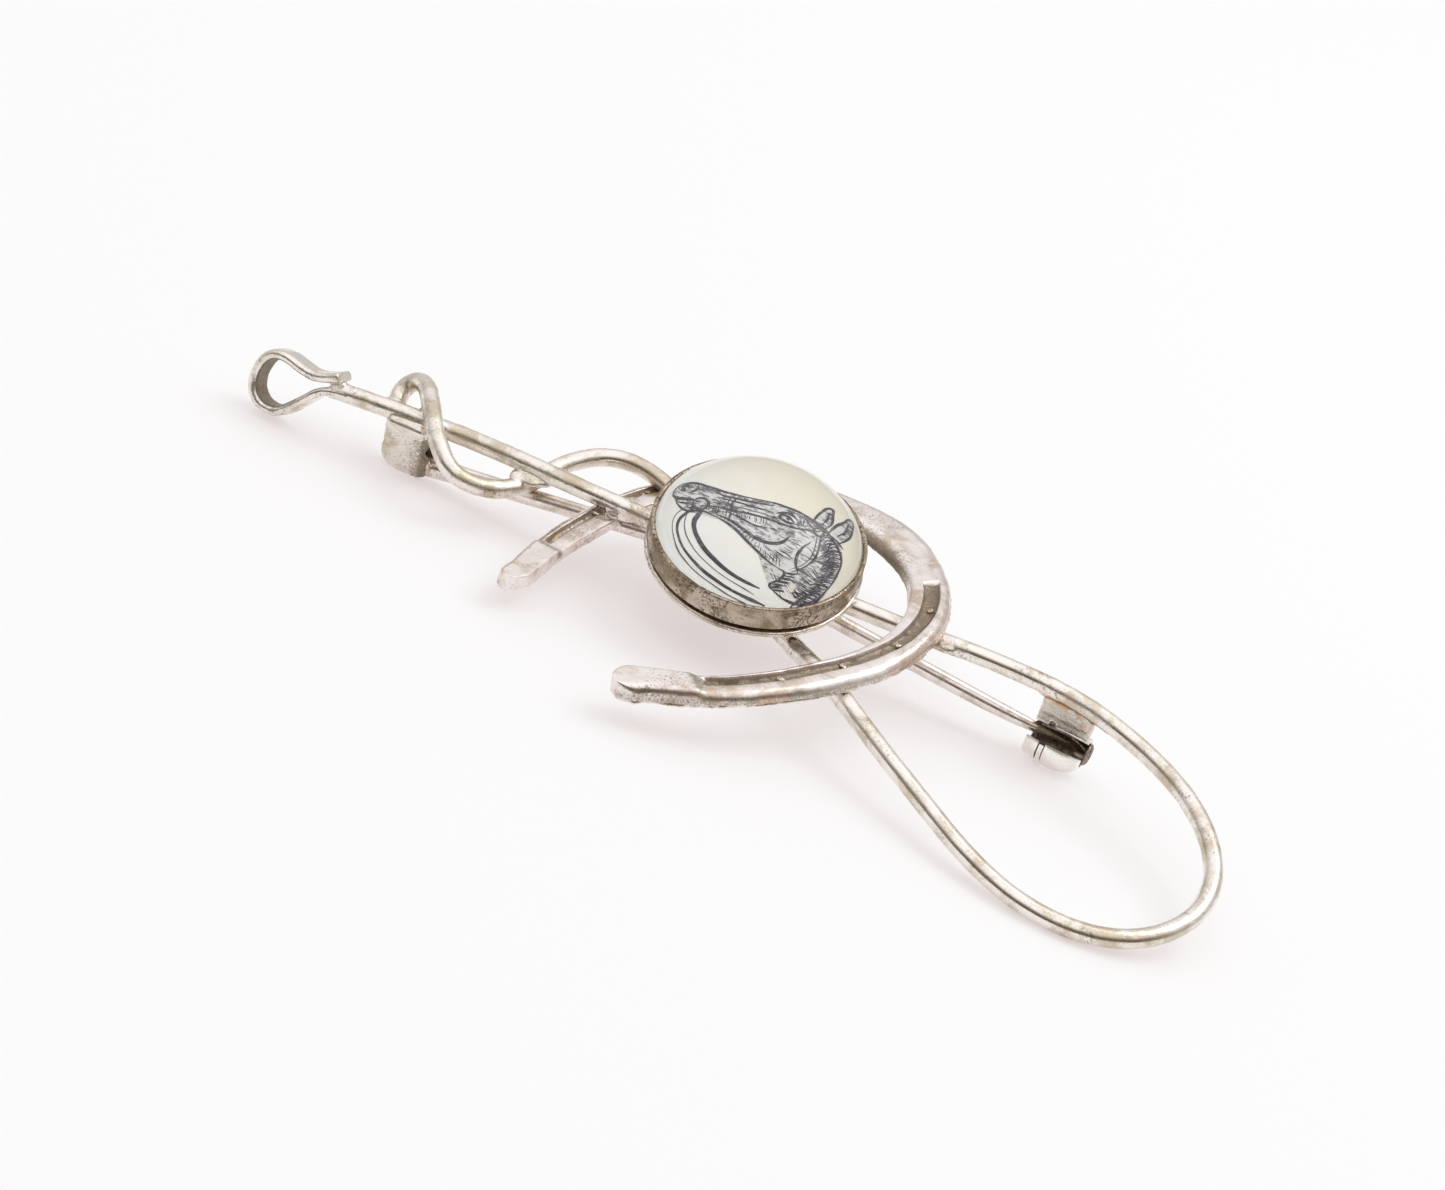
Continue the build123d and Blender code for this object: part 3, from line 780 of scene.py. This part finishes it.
def hatched(count, width, first, second, hand):
    a, b = smoothLine(first, 8), smoothLine(second, 8)
    strokes = []
    for i in range(count):
        share = (i + hand.uniform(-0.3, 0.3)) / (count - 1)
        start, end = pick(a, share), pick(b, share + hand.uniform(-0.03, 0.03))
        end = start.lerp(end, hand.uniform(0.6, 1))
        bend = Vector((hand.uniform(-0.05, 0.05), hand.uniform(-0.05, 0.05), 0))
        middle = (start + end) / 2 + bend
        strokes.append((width * 0.01 * hand.uniform(0.7, 1.3), [start.xy, middle.xy, end.xy]))
    return strokes


def makePicture():
    material, s = newShader("pictureGround")
    place = s.place()
    side = s.along(place, Vector(laidX) * 0.6 + Vector(laidY) * 0.8)
    mottle = s.noise(place, 1.2, 4)
    # The ground is cream towards the back right and whiter towards the front left
    creamSide = s.soft(side + (mottle - 0.5) * 0.004, -0.004, 0.005)
    cream = s.mix(creamSide, (0.96, 0.965, 0.955, 1), (0.98, 0.93, 0.78, 1))
    colour = s.mix(s.soft(mottle, 0.45, 0.75) * 0.2, cream, (0.9, 0.86, 0.78, 1))
    s.finish(Base_Color=colour, Roughness=s.soft(mottle, 0.3, 0.7, 0.4, 0.6), Normal=s.bump(mottle, 0.01))
    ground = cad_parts["picture_disc"].data.materials
    ground.clear()
    ground.append(material)

    wash, s = newShader("pictureWash")
    place = s.place()
    streaks = s.noise(s.vector("MULTIPLY", place, (0.35, 1.3, 1), "Vector"), 0.22, 4, 0.7, 0.8)
    cloud = s.noise(place, 1.1, 3, 0.6)
    light = s.soft(streaks * 0.6 + cloud * 0.4, 0.42, 0.53)
    tone = s.mix(light, (0.13, 0.12, 0.15, 1), (0.8, 0.79, 0.79, 1))
    s.finish(Base_Color=tone, Roughness=0.5)
    fill = filled([picture["head"]] + picture["ears"], picture["fillHeight"])
    piece("picture_wash", fill, wash)

    ink, s = newShader("pictureInk")
    place = s.place()
    worn = s.noise(place, 0.25, 3, 0.6)
    tone = s.mix(s.soft(worn, 0.5, 0.7), (0.06, 0.052, 0.07, 1), (0.24, 0.22, 0.26, 1))
    s.finish(Base_Color=tone, Roughness=0.5)
    hand = random.Random(3)
    strokes = [(width * 0.015, points) for width, points in picture["strokes"]]
    outline = picture["head"] + picture["head"][:2]
    strokes += [(picture["outline"], outline[i:i + 5]) for i in range(0, len(outline) - 2, 4)]
    strokes += [(picture["outline"], ear) for ear in picture["ears"]]
    for x, y, r in picture["rings"]:
        ring = [(x + r * cos(radians(a)), y + r * sin(radians(a))) for a in range(0, 405, 45)]
        strokes.append((picture["ring"], ring))
    for width, points in picture["straps"]:
        line = smoothLine(points, 8)
        for side in (-1, 1):
            edge = []
            for i in range(0, len(line), 4):
                ahead = (line[min(i + 1, len(line) - 1)] - line[max(i - 1, 0)]).normalized()
                off = side * width * 0.004
                edge.append((line[i].x - ahead.y * off, line[i].y + ahead.x * off))
            strokes.append((picture["strapEdge"] if side > 0 else width * 0.0045, edge))
    for count, width, first, second in picture["hatches"]:
        strokes += hatched(count, width, first, second, hand)
    for locks, fall, along in picture["hair"]:
        crest = smoothLine(along, 8)
        for i in range(locks):
            start = pick(crest, (i + hand.uniform(-0.4, 0.4)) / (locks - 1)).xy
            end = start + Vector(fall) * hand.uniform(*picture["lockLengths"])
            middle = (start + end) / 2 + Vector((hand.uniform(0.1, 0.25), hand.uniform(0.05, 0.2)))
            strokes.append((hand.uniform(*picture["lockWidths"]), [start, middle, end]))
    piece("picture_ink", strokeCurve(strokes, picture["height"]), ink, sharpFrom=180)


# The hinge under the shaft, the rivet through it and the pin
hinge = {
    "x": (-27.15, -24.1), "topZ": 0.15, "bridgeZ": -2.2, "round": 0.5, "halfWidth": 0.99, "slotHalf": 0.54,
    # Each ear is three discs: x, height and radius
    "ear": [(-25.7, -2.6, 1.42), (-25.35, -3.1, 1), (-24.55, -2.95, 1.1)],
    # The scratched part, and how dark it is made: tarnish at least that much, then painted shade added from
    # an x on, within a way, towards its right end by the pin's knuckle
    "scratchedX": (-27.6, -23.6), "scratchedTop": -0.7, "scratch": 0.03, "scratchSize": 0.4,
    "shadeAndTarnish": 0.26, "darkerFrom": [(0.24, -25.8, 1.6), (0.3, -24.5, 0.6)],
    "pivot": (-25.3, 0, -3.15), "rivetR": 0.35,
}
pin = {
    "radius": 0.5, "start": (-25, 0, -3.62), "bow": (-3.25, 0, -2.21), "end": (18.5, 0, -3.8),
    "tip": (23.9, 0, -4.19), "weights": [1.5, 1.5, 1.3, 1.1, 1.1, 1.1, 1.1, 0.7, 0.1],
    "knuckleR": 0.78, "knuckleHalf": 0.49, "tipDarkening": 0.75, "darkerFrom": 21.1,
}


def rod(centre, end, steps):
    # A bar along the hinge's axis, from the outline of one end, radius and height, to its like
    bm = spun([(r, -z) for r, z in reversed(end)] + end, steps)
    return moved(bm, Matrix.Translation(centre) @ Matrix.Rotation(radians(90), 4, "X"))


def hingeLumps():
    low, high = hinge["x"]
    half, slot = hinge["halfWidth"], hinge["slotHalf"]
    thick = half - slot
    block = box((low, -half, hinge["bridgeZ"] - 0.3), (high, half, hinge["topZ"]))
    bmesh.ops.bevel(block, geom=block.edges[:], offset=hinge["round"], segments=4, affect="EDGES",
                    profile=0.5, material=-1)
    lumps = [block]
    for side in (-1, 1):
        y = side * (slot + thick / 2)
        lumps += [rod((x, y, z), [(r, thick / 2), (0, thick / 2)], 40) for x, z, r in hinge["ear"]]
    return lumps


def makeRivet():
    r, tall = hinge["rivetR"], hinge["halfWidth"]
    bm = rod(hinge["pivot"], [(r, tall - 0.06), (r * 0.8, tall), (0, tall)], 32)
    piece("rivet", bm, silver("rivetSilver"), stands=("hinge_rivet",))


def makePin():
    start, bow, end, tip = (Vector(pin[k]) for k in ("start", "bow", "end", "tip"))
    handle = bow * 2 - (start + end) / 2
    slope = end - handle
    stop = end + (tip - end) * 0.62
    route = [start, start.lerp(handle, 0.08), start.lerp(handle, 0.2), start.lerp(handle, 0.6), handle,
             handle + slope * 0.5, end, stop, tip]
    stem = nurbs(route, pin["radius"], pin["weights"], sides=8, steps=12)
    r, half = pin["knuckleR"], pin["knuckleHalf"]
    bm = join(stem, rod(hinge["pivot"], [(r, half - 0.1), (r - 0.1, half), (0, half)], 48))
    # The tip that lies in the catch is made darker
    shadeAndTarnish(bm, lambda v: pin["tipDarkening"] * ease((v.co.x - pin["darkerFrom"]) / 0.7))
    look = silver("pinSilver", spots=0.55, spotsFrom=0.56, smooth=0.14, rough=0.34, grain=0.2, bump=0.006)
    piece("pin", bm, look, body="pin", stands=("pin_stem",))


# The safety catch: an open barrel with a post up to the wire, and the sleeve that turns inside it
catch = {
    "centre": (23.18, -0.36, -4.55), "turn": -6, "length": 3.95, "radius": 1.52, "wall": 0.3,
    "open": (-11, 54), "slotX": -0.75, "slotW": 0.5, "slotEnd": 150, "notch": -36,
    "swell": 1.03, "fullX": 0.05, "endFalls": (0.35, 0.8),   # the lower lip is a ball's: fullest at fullX
    "sleeveR": 1.15, "sleeveWall": 0.2, "sleeveOpen": (-24, 60),
    "plug": [(0, 1.3), (0.4, 1.3), (0.4, 2.08), (0, 2.08)],
    "knob": [(0, 2), (0.72, 2), (0.78, 2.06), (0.76, 2.16), (0.6, 2.27), (0.3, 2.32), (0, 2.33)],
    "knobShift": (0.3, -0.3, 0),
    "tab": (60, 146), "tabR": 1.42, "tabW": 0.34, "postT": 1, "postFoot": 1.42, "postTop": 0.4,
    "web": ((-2, -0.5), (0, 0)), "webAt": (0.1, 0.25), "webLean": 7,
    "levelsBefore": [-1.85, -1.6, -1.3], "levels": [-0.2, 0.15, 0.5, 0.8, 1.1, 1.35, 1.6, 1.8],
    "rim": (1.45, 1.72, 1.9), "rimR": 0.06, "pit": 1.68,
}


def catchMatrix():
    turn = radians(catch["turn"])
    along = Vector((cos(turn), sin(turn), 0))
    up = Vector((0, 0, 1))
    return axesMatrix(catch["centre"], up, along.cross(up), along)


def shell(radius, wall, fromAngle, toAngle, levels, cuts=()):
    # Part of a tube's wall, angles from straight up towards the front, with rectangular cuts
    marks = sorted({a for cut in cuts for a in cut[2:] if fromAngle < a < toAngle})
    count = 60
    even = [fromAngle + (toAngle - fromAngle) * i / count for i in range(count + 1)]
    angles = sorted([a for a in even if all(abs(a - m) > 2 for m in marks)] + marks)
    bm = bmesh.new()
    bmesh.ops.create_grid(bm, x_segments=len(angles) - 1, y_segments=len(levels) - 1, size=1)
    spots = {}
    for v in bm.verts:
        i, j = gridSpot(v, len(angles) - 1, len(levels) - 1)
        spots[v] = angles[i], levels[j]
        v.co = (radius * cos(radians(angles[i])), radius * sin(radians(angles[i])), levels[j])
    gone = []
    for face in bm.faces:
        angle, level = (sum(spots[v][k] for v in face.verts) / len(face.verts) for k in (0, 1))
        if any(low < level < high and a < angle < b for low, high, a, b in cuts):
            gone.append(face)
    bmesh.ops.delete(bm, geom=gone, context="FACES")
    bmesh.ops.recalc_face_normals(bm, faces=bm.faces)
    if sum(f.normal.xy.dot(f.calc_center_median().xy) for f in bm.faces) < 0:
        bmesh.ops.reverse_faces(bm, faces=bm.faces)
    bmesh.ops.solidify(bm, geom=bm.faces[:], thickness=wall)
    return bm


def swollen(bm, allRound=False):
    # Gives a tube a ball's outline, only below and in front unless all round
    for v in bm.verts:
        along = v.co.z / (catch["length"] / 2) - catch["fullX"]
        along /= 1 - catch["fullX"] if along > 0 else 1 + catch["fullX"]
        fall = catch["endFalls"][along > 0] * along * along
        roundness = catch["swell"] * max(1 - fall, 0.1) ** 0.5
        share = 1 if allRound else ease((0.35 - v.co.x) / 0.9) if v.co.y < 0 else 1
        size = 1 + (roundness - 1) * share
        v.co.x *= size
        v.co.y *= size
    return bm


def rounded(bm, width, segments=2):
    return withModifiers(bm, ("BEVEL", {
        "width": width, "segments": segments, "limit_method": "ANGLE", "angle_limit": radians(35)}))


def postLumps():
    # The post that carries the barrel: upright behind, and in front a web that leans out to the wire's side
    half = catch["length"] / 2
    top = -catch["centre"][2] - catch["postTop"]
    face = catch["radius"] * sin(radians(catch["open"][0])) + catch["wall"] / 2
    post = box((catch["postFoot"], face - catch["postT"], -half + 0.05), (top, face, half - 0.2))
    low, high = catch["web"]
    web = box((*low, -half + 0.2), (*high, half - 0.45))
    x, y = catch["webAt"]
    lean = Matrix.Translation((top + x, y, 0)) @ Matrix.Rotation(radians(catch["webLean"]), 4, "Z")
    return [moved(post, catchMatrix()), moved(moved(web, lean), catchMatrix())]


def makeCatch():
    half = catch["length"] / 2
    slotLow, slotHigh = catch["slotX"] - catch["slotW"] / 2, catch["slotX"] + catch["slotW"] / 2
    back, front = catch["open"]
    levels = [-half, *catch["levelsBefore"], slotLow, slotHigh, *catch["levels"], half]
    cuts = [(slotLow, slotHigh, front, catch["slotEnd"]),
            (slotLow, slotHigh, 360 + catch["notch"], 360 + back)]
    barrel = swollen(shell(catch["radius"], catch["wall"], front, 360 + back, levels, cuts))
    barrel = rounded(barrel, 0.06, 3)
    shadeAndTarnish(barrel, lambda v: 0.95 * ease((-v.normal.xy.dot(v.co.xy.normalized()) - 0.3) / 0.4))
    # A small arched notch over the barrel's lip: a shallow pit filled with painted shade, inside a bright rim
    n, w = catch["slotX"], catch["slotW"] / 2 + 0.02
    face = catch["radius"] * sin(radians(back)) + catch["wall"] / 2 + 0.04
    foot, shoulder, crown = catch["rim"]
    arch = [(foot, face, -w), (shoulder, face, -w), (crown, face, -w * 0.6), (crown, face, w * 0.6),
            (shoulder, face, w), (foot, face, w)]
    rim = nurbs([(x, y, n + z) for x, y, z in arch], catch["rimR"], sides=3, steps=6)
    # The pit is painted shade, wholly dark
    pit = ball((catch["pit"], face - 0.04, n), (0.22, 0.06, w - 0.04))
    barrel = join(barrel, shadeAndTarnish(rim, lambda v: 0), shadeAndTarnish(pit, lambda v: 1))
    moved(barrel, catchMatrix())
    uneven(barrel, 0.8, 0.012, 9)
    piece("catch_barrel", barrel, silver("catchSilver", **whiteTone, spots=0.35, spotsFrom=0.58, pits=0.15))

    a, b = catch["sleeveOpen"]
    even = [(-half + 0.06) + (2 * half - 0.12) * i / 14 for i in range(15)]
    sleeve = shell(catch["sleeveR"], catch["sleeveWall"], b, 360 + a, even)
    sleeve = rounded(swollen(sleeve, allRound=True), 0.03)
    knob = moved(spun(catch["knob"], 64), Matrix.Translation(catch["knobShift"]))
    bm = moved(join(sleeve, spun(catch["plug"], 48), knob), catchMatrix())
    uneven(bm, 0.7, 0.012, 11)
    dark = silver("sleeveSilver", bright=(0.4, 0.32, 0.27, 1), warm=(0.24, 0.19, 0.15, 1),
                  dark=(0.07, 0.05, 0.035, 1), smooth=0.35, rough=0.6, spots=0.8, spotsFrom=0.5, bump=0.02,
                  patch=1)
    piece("catch_sleeve", bm, dark, body="rotor", stands=("catch_rotor",))

    # The sleeve's thumb tab, bright, which runs in the barrel's slot
    low, high = catch["tab"]
    wide, deep = catch["tabW"] / 2, catch["sleeveR"] - 0.05
    sides = [catch["slotX"] - wide, catch["slotX"] + wide]
    tab = shell(catch["tabR"], catch["tabR"] - deep, low, high, sides)
    tab = moved(rounded(tab, 0.05, 2), catchMatrix())
    piece("catch_tab", tab, silver("tabSilver", **whiteTone), body="rotor")


# Solder where the pieces meet, melted into one skin with the wire there.
# Each lump is a centre, the half sizes and its turn about the face's upright.
solder = {
    "voxel": 0.075, "rounds": 14, "swell": 0.02, "sink": 0.035, "fade": 1, "postFrom": 20,
    # The dull joint beside the lash: its middle and half sizes, x and y
    "joint": (-16.4, -0.2), "jointHalf": (1.4, 0.8),
    "left": [
        ((-16.5, -0.35, -0.38), (1.1, 0.85, 0.32), -15), ((-15.7, -0.25, -0.42), (0.9, 0.55, 0.32), 5),
        ((-17.2, -0.7, -0.4), (0.5, 0.6, 0.32), 0),
        ((-22.6, 0.3, 0.12), (0.95, 0.62, 0.6), 10), ((-23.6, 0.1, 0.45), (0.7, 0.55, 0.4), 0),
        ((-24.9, 1, 0.2), (0.6, 0.5, 0.4), 0), ((-27.3, 0.7, 0), (0.75, 0.6, 0.5), 20),
        ((-27.1, 1.2, -0.9), (0.6, 0.9, 0.6), 0), ((-30.9, -0.2, 0.05), (0.9, 0.55, 0.5), 0),
    ],
    # Elsewhere: a region of the wire, and the lumps there
    "spots": [
        ((-11.6, -2.4), (-7, 1.2), [
            ((-9.4, -0.26, -0.42), (1.3, 0.44, 0.34), 8), ((-8.2, 0, -0.1), (0.8, 0.7, 0.6), 0),
        ]),
        ((8.4, -11.8), (12.6, -7.6), [
            ((10.8, -10.3, 0.7), (0.8, 0.55, 0.32), -40), ((9.4, -9.2, 0.8), (0.7, 0.6, 0.3), -40),
        ]),
        ((12.6, -2), (16.4, 1.6), [((14, -0.4, 0.1), (0.9, 0.65, 0.35), 0)]),
        ((4, -8), (7.4, -4.4), [((5.6, -6.3, 0.3), (0.9, 0.6, 0.35), -40)]),
        ((20, -2.6), (27, 1.8), [
            ((21.3, 0, -0.5), (0.7, 0.5, 0.4), 0), ((25, -0.7, -0.5), (0.6, 0.5, 0.4), 0),
        ]),
    ],
}


def settle(v, share):
    # Solder stands a little proud, and where it ends it sinks into the wire, so that no step shows
    v.co += v.normal * (solder["swell"] * share - solder["sink"] * (1 - share))


def makeWelds(wire):
    voxel, rounds = solder["voxel"], solder["rounds"]
    ribbon, eye = hookRibbon()
    start = whip["fusedTo"] + 1
    shaft = kept(wire, ((start, 0, 0), (1, 0, 0)))
    bm = melted(join(shaft, ribbon, *hingeLumps(), *balls(solder["left"])), voxel, rounds)
    bm.normal_update()
    for v in bm.verts:
        settle(v, ease((start - v.co.x) / 0.8))
    uneven(bm, 0.7, 0.012, 7)
    bm.normal_update()
    hollow = bm.verts.layers.float.new("hollow")
    low, high = hinge["scratchedX"]
    for v in bm.verts:
        inward = (eye - v.co).normalized().dot(v.normal)
        # The faces inside the hook's eye are made darker
        if v.co.x < hook["eyeTo"] and (eye - v.co).length < hook["eyeReach"]:
            v[hollow] = hook["eyeInsideDark"] * ease((inward - 0.3) / 0.4)
        elif v.co.z < hinge["scratchedTop"] and low < v.co.x < high:
            # The hinge block is scratched and pitted all over
            scratch = noise.fractal(v.co / hinge["scratchSize"], 0.8, 2.1, 3)
            v.co += v.normal * hinge["scratch"] * scratch
            # Tarnish, with painted shade added towards the block's right end by the pin's knuckle
            v[hollow] = hinge["shadeAndTarnish"] + sum(
                more * ease((v.co.x - edge) / way) for more, edge, way in hinge["darkerFrom"])
        elif (all(abs(a - b) < c for a, b, c in zip(v.co, solder["joint"], solder["jointHalf"]))
              and v.normal.z > 0.5 and v.co.z < 0.25):
            v[hollow] = 0.3
    look = silver("endSilver", bright=(0.86, 0.81, 0.75, 1), warm=(0.6, 0.52, 0.4, 1), spots=0.6,
                  spotsFrom=0.55, warmFrom=0.45, smooth=0.2, rough=0.4)
    piece("whip_end", bm, look, sharpFrom=80)

    skins = []
    for low, high, spots in solder["spots"]:
        near = kept(wire, ((low[0], 0, 0), (-1, 0, 0)), ((high[0], 0, 0), (1, 0, 0)),
                    ((0, low[1], 0), (0, -1, 0)), ((0, high[1], 0), (0, 1, 0)))
        lumps = balls(spots)
        if low[0] >= solder["postFrom"]:
            lumps += postLumps()
        skin = melted(join(near, *lumps), voxel, rounds)
        hollow = skin.verts.layers.float.new("hollow")
        skin.normal_update()
        for v in skin.verts:
            x, y = v.co.x, v.co.y
            settle(v, ease(min(x - low[0], high[0] - x, y - low[1], high[1] - y) / solder["fade"]))
            if x > solder["postFrom"]:
                # The post is sandy and dull
                v[hollow] = 0.5 * ease((-0.55 - v.co.z) / 0.5) * ease((v.co.z + 3.4) / 0.4)
        skins.append(skin)
    bm = join(*skins)
    uneven(bm, 0.6, 0.014, 12)
    gold = (0.7, 0.44, 0.21, 1)
    stains = [
        ((21.6, -0.5, -0.4), 0.75, gold), ((22.2, -0.7, -0.5), 0.9, gold), ((22.8, -0.8, -0.6), 0.75, gold),
        ((24, -0.7, -1), 0.8, (0.55, 0.38, 0.24, 1)), ((24.6, -0.6, -1.7), 1, (0.66, 0.49, 0.4, 1)),
    ]
    look = silver("solderSilver", **wireTone, spots=0.65, spotsFrom=0.545, stains=stains, stain=0.65,
                  smooth=0.2, rough=0.4, hollow=(0.55, 0.48, 0.38, 1), hollowLight=(0.74, 0.68, 0.59, 1))
    piece("solder", bm, look, sharpFrom=80)


# Table, light and camera
studio = {
    "cameraPlace": (28.428, -177.9714, 97.1746), "cameraRight": (0.9002, 0.3066, 0.3092),
    "cameraBack": (0.1409, -0.877, 0.4594),
    "camera": {"lens": 76.61, "sensor_width": 36, "sensor_fit": "HORIZONTAL", "clip_start": 0.01,
               "clip_end": 10},
    "tableSize": 4, "lampPlace": (0.24, 0.17, 0.48),
    "lamp": {"shape": "SQUARE", "size": 0.34, "energy": 0.7, "color": (1, 0.985, 0.97)},
    "horizon": (0.74, 0.73, 0.73, 1), "overhead": (1.35, 1.33, 1.33, 1), "room": (0.17, 0.13, 0.085, 1),
    # The table glows, which is painted light: it lifts the shadows on it and tints them pink, and the bluish
    # paper keeps its lit parts white
    "skyLight": 0.86, "paper": (0.418, 0.496, 0.502), "glow": (0.526, 0.447, 0.445, 1),
}


def makeStudio():
    bm = bmesh.new()
    bmesh.ops.create_grid(bm, x_segments=8, y_segments=8, size=studio["tableSize"] / 2)
    mesh = asMesh("table", bm)
    material, s = newShader("tablePaper")
    place = s.place()
    fibre = s.noise(place, 0.5, 4)
    r, g, b = studio["paper"]
    s.finish(Base_Color=s.mix(fibre, (r, g, b, 1), (r * 1.02, g * 1.02, b * 1.02, 1)), Roughness=0.9,
             Emission_Color=studio["glow"], Emission_Strength=1)
    mesh.materials.append(material)
    table = link(bpy.data.objects.new("table", mesh))

    lamp = setAll(bpy.data.lights.new("softbox", "AREA"), studio["lamp"])
    holder = link(bpy.data.objects.new("softbox", lamp))
    holder.location = studio["lampPlace"]
    holder.rotation_euler = (-holder.location).to_track_quat("-Z", "Y").to_euler()

    world = bpy.data.worlds.new("studio")
    world.use_nodes = True
    bpy.context.scene.world = world
    s = Shader(world.node_tree)
    way = s.add("TexCoord", out="Generated")
    high = s.add("SeparateXYZ", {}, {"Vector": way}, out="Z")
    toFront = s.vector("DOT_PRODUCT", way, Vector((0.15, -1, 0)).normalized())
    # The room behind the camera is dark, the light comes from overhead
    sky = s.mix(s.soft(high, 0.2, 1), studio["horizon"], studio["overhead"])
    dark = s.soft(toFront, 0, 0.7) * s.soft(high, 0.35, 0.85, 1, 0)
    sky = s.mix(dark, sky, studio["room"])
    light = s.add("Background", {}, {"Color": sky, "Strength": studio["skyLight"]})
    s.add("OutputWorld", {}, {"Surface": light})

    camera = setAll(bpy.data.cameras.new("camera"), studio["camera"])
    holder = link(bpy.data.objects.new("camera", camera))
    back, right = Vector(studio["cameraBack"]), Vector(studio["cameraRight"])
    up = back.cross(right)
    holder.matrix_world = axesMatrix(Vector(studio["cameraPlace"]) * mm, right, up, back)
    bpy.context.scene.camera = holder
    bpy.context.scene.view_settings.view_transform = "Standard"


print("making the studio")
makeStudio()
print("making the whip")
wire = whipWire()
makeWhip(wire)
makeWelds(wire)
wire.free()
print("making the horseshoe")
makeHorseshoe()
print("making the setting")
makeSetting()
makeCrystal()
print("drawing the picture")
makePicture()
print("making the pin and its catch")
makeRivet()
makePin()
makeCatch()
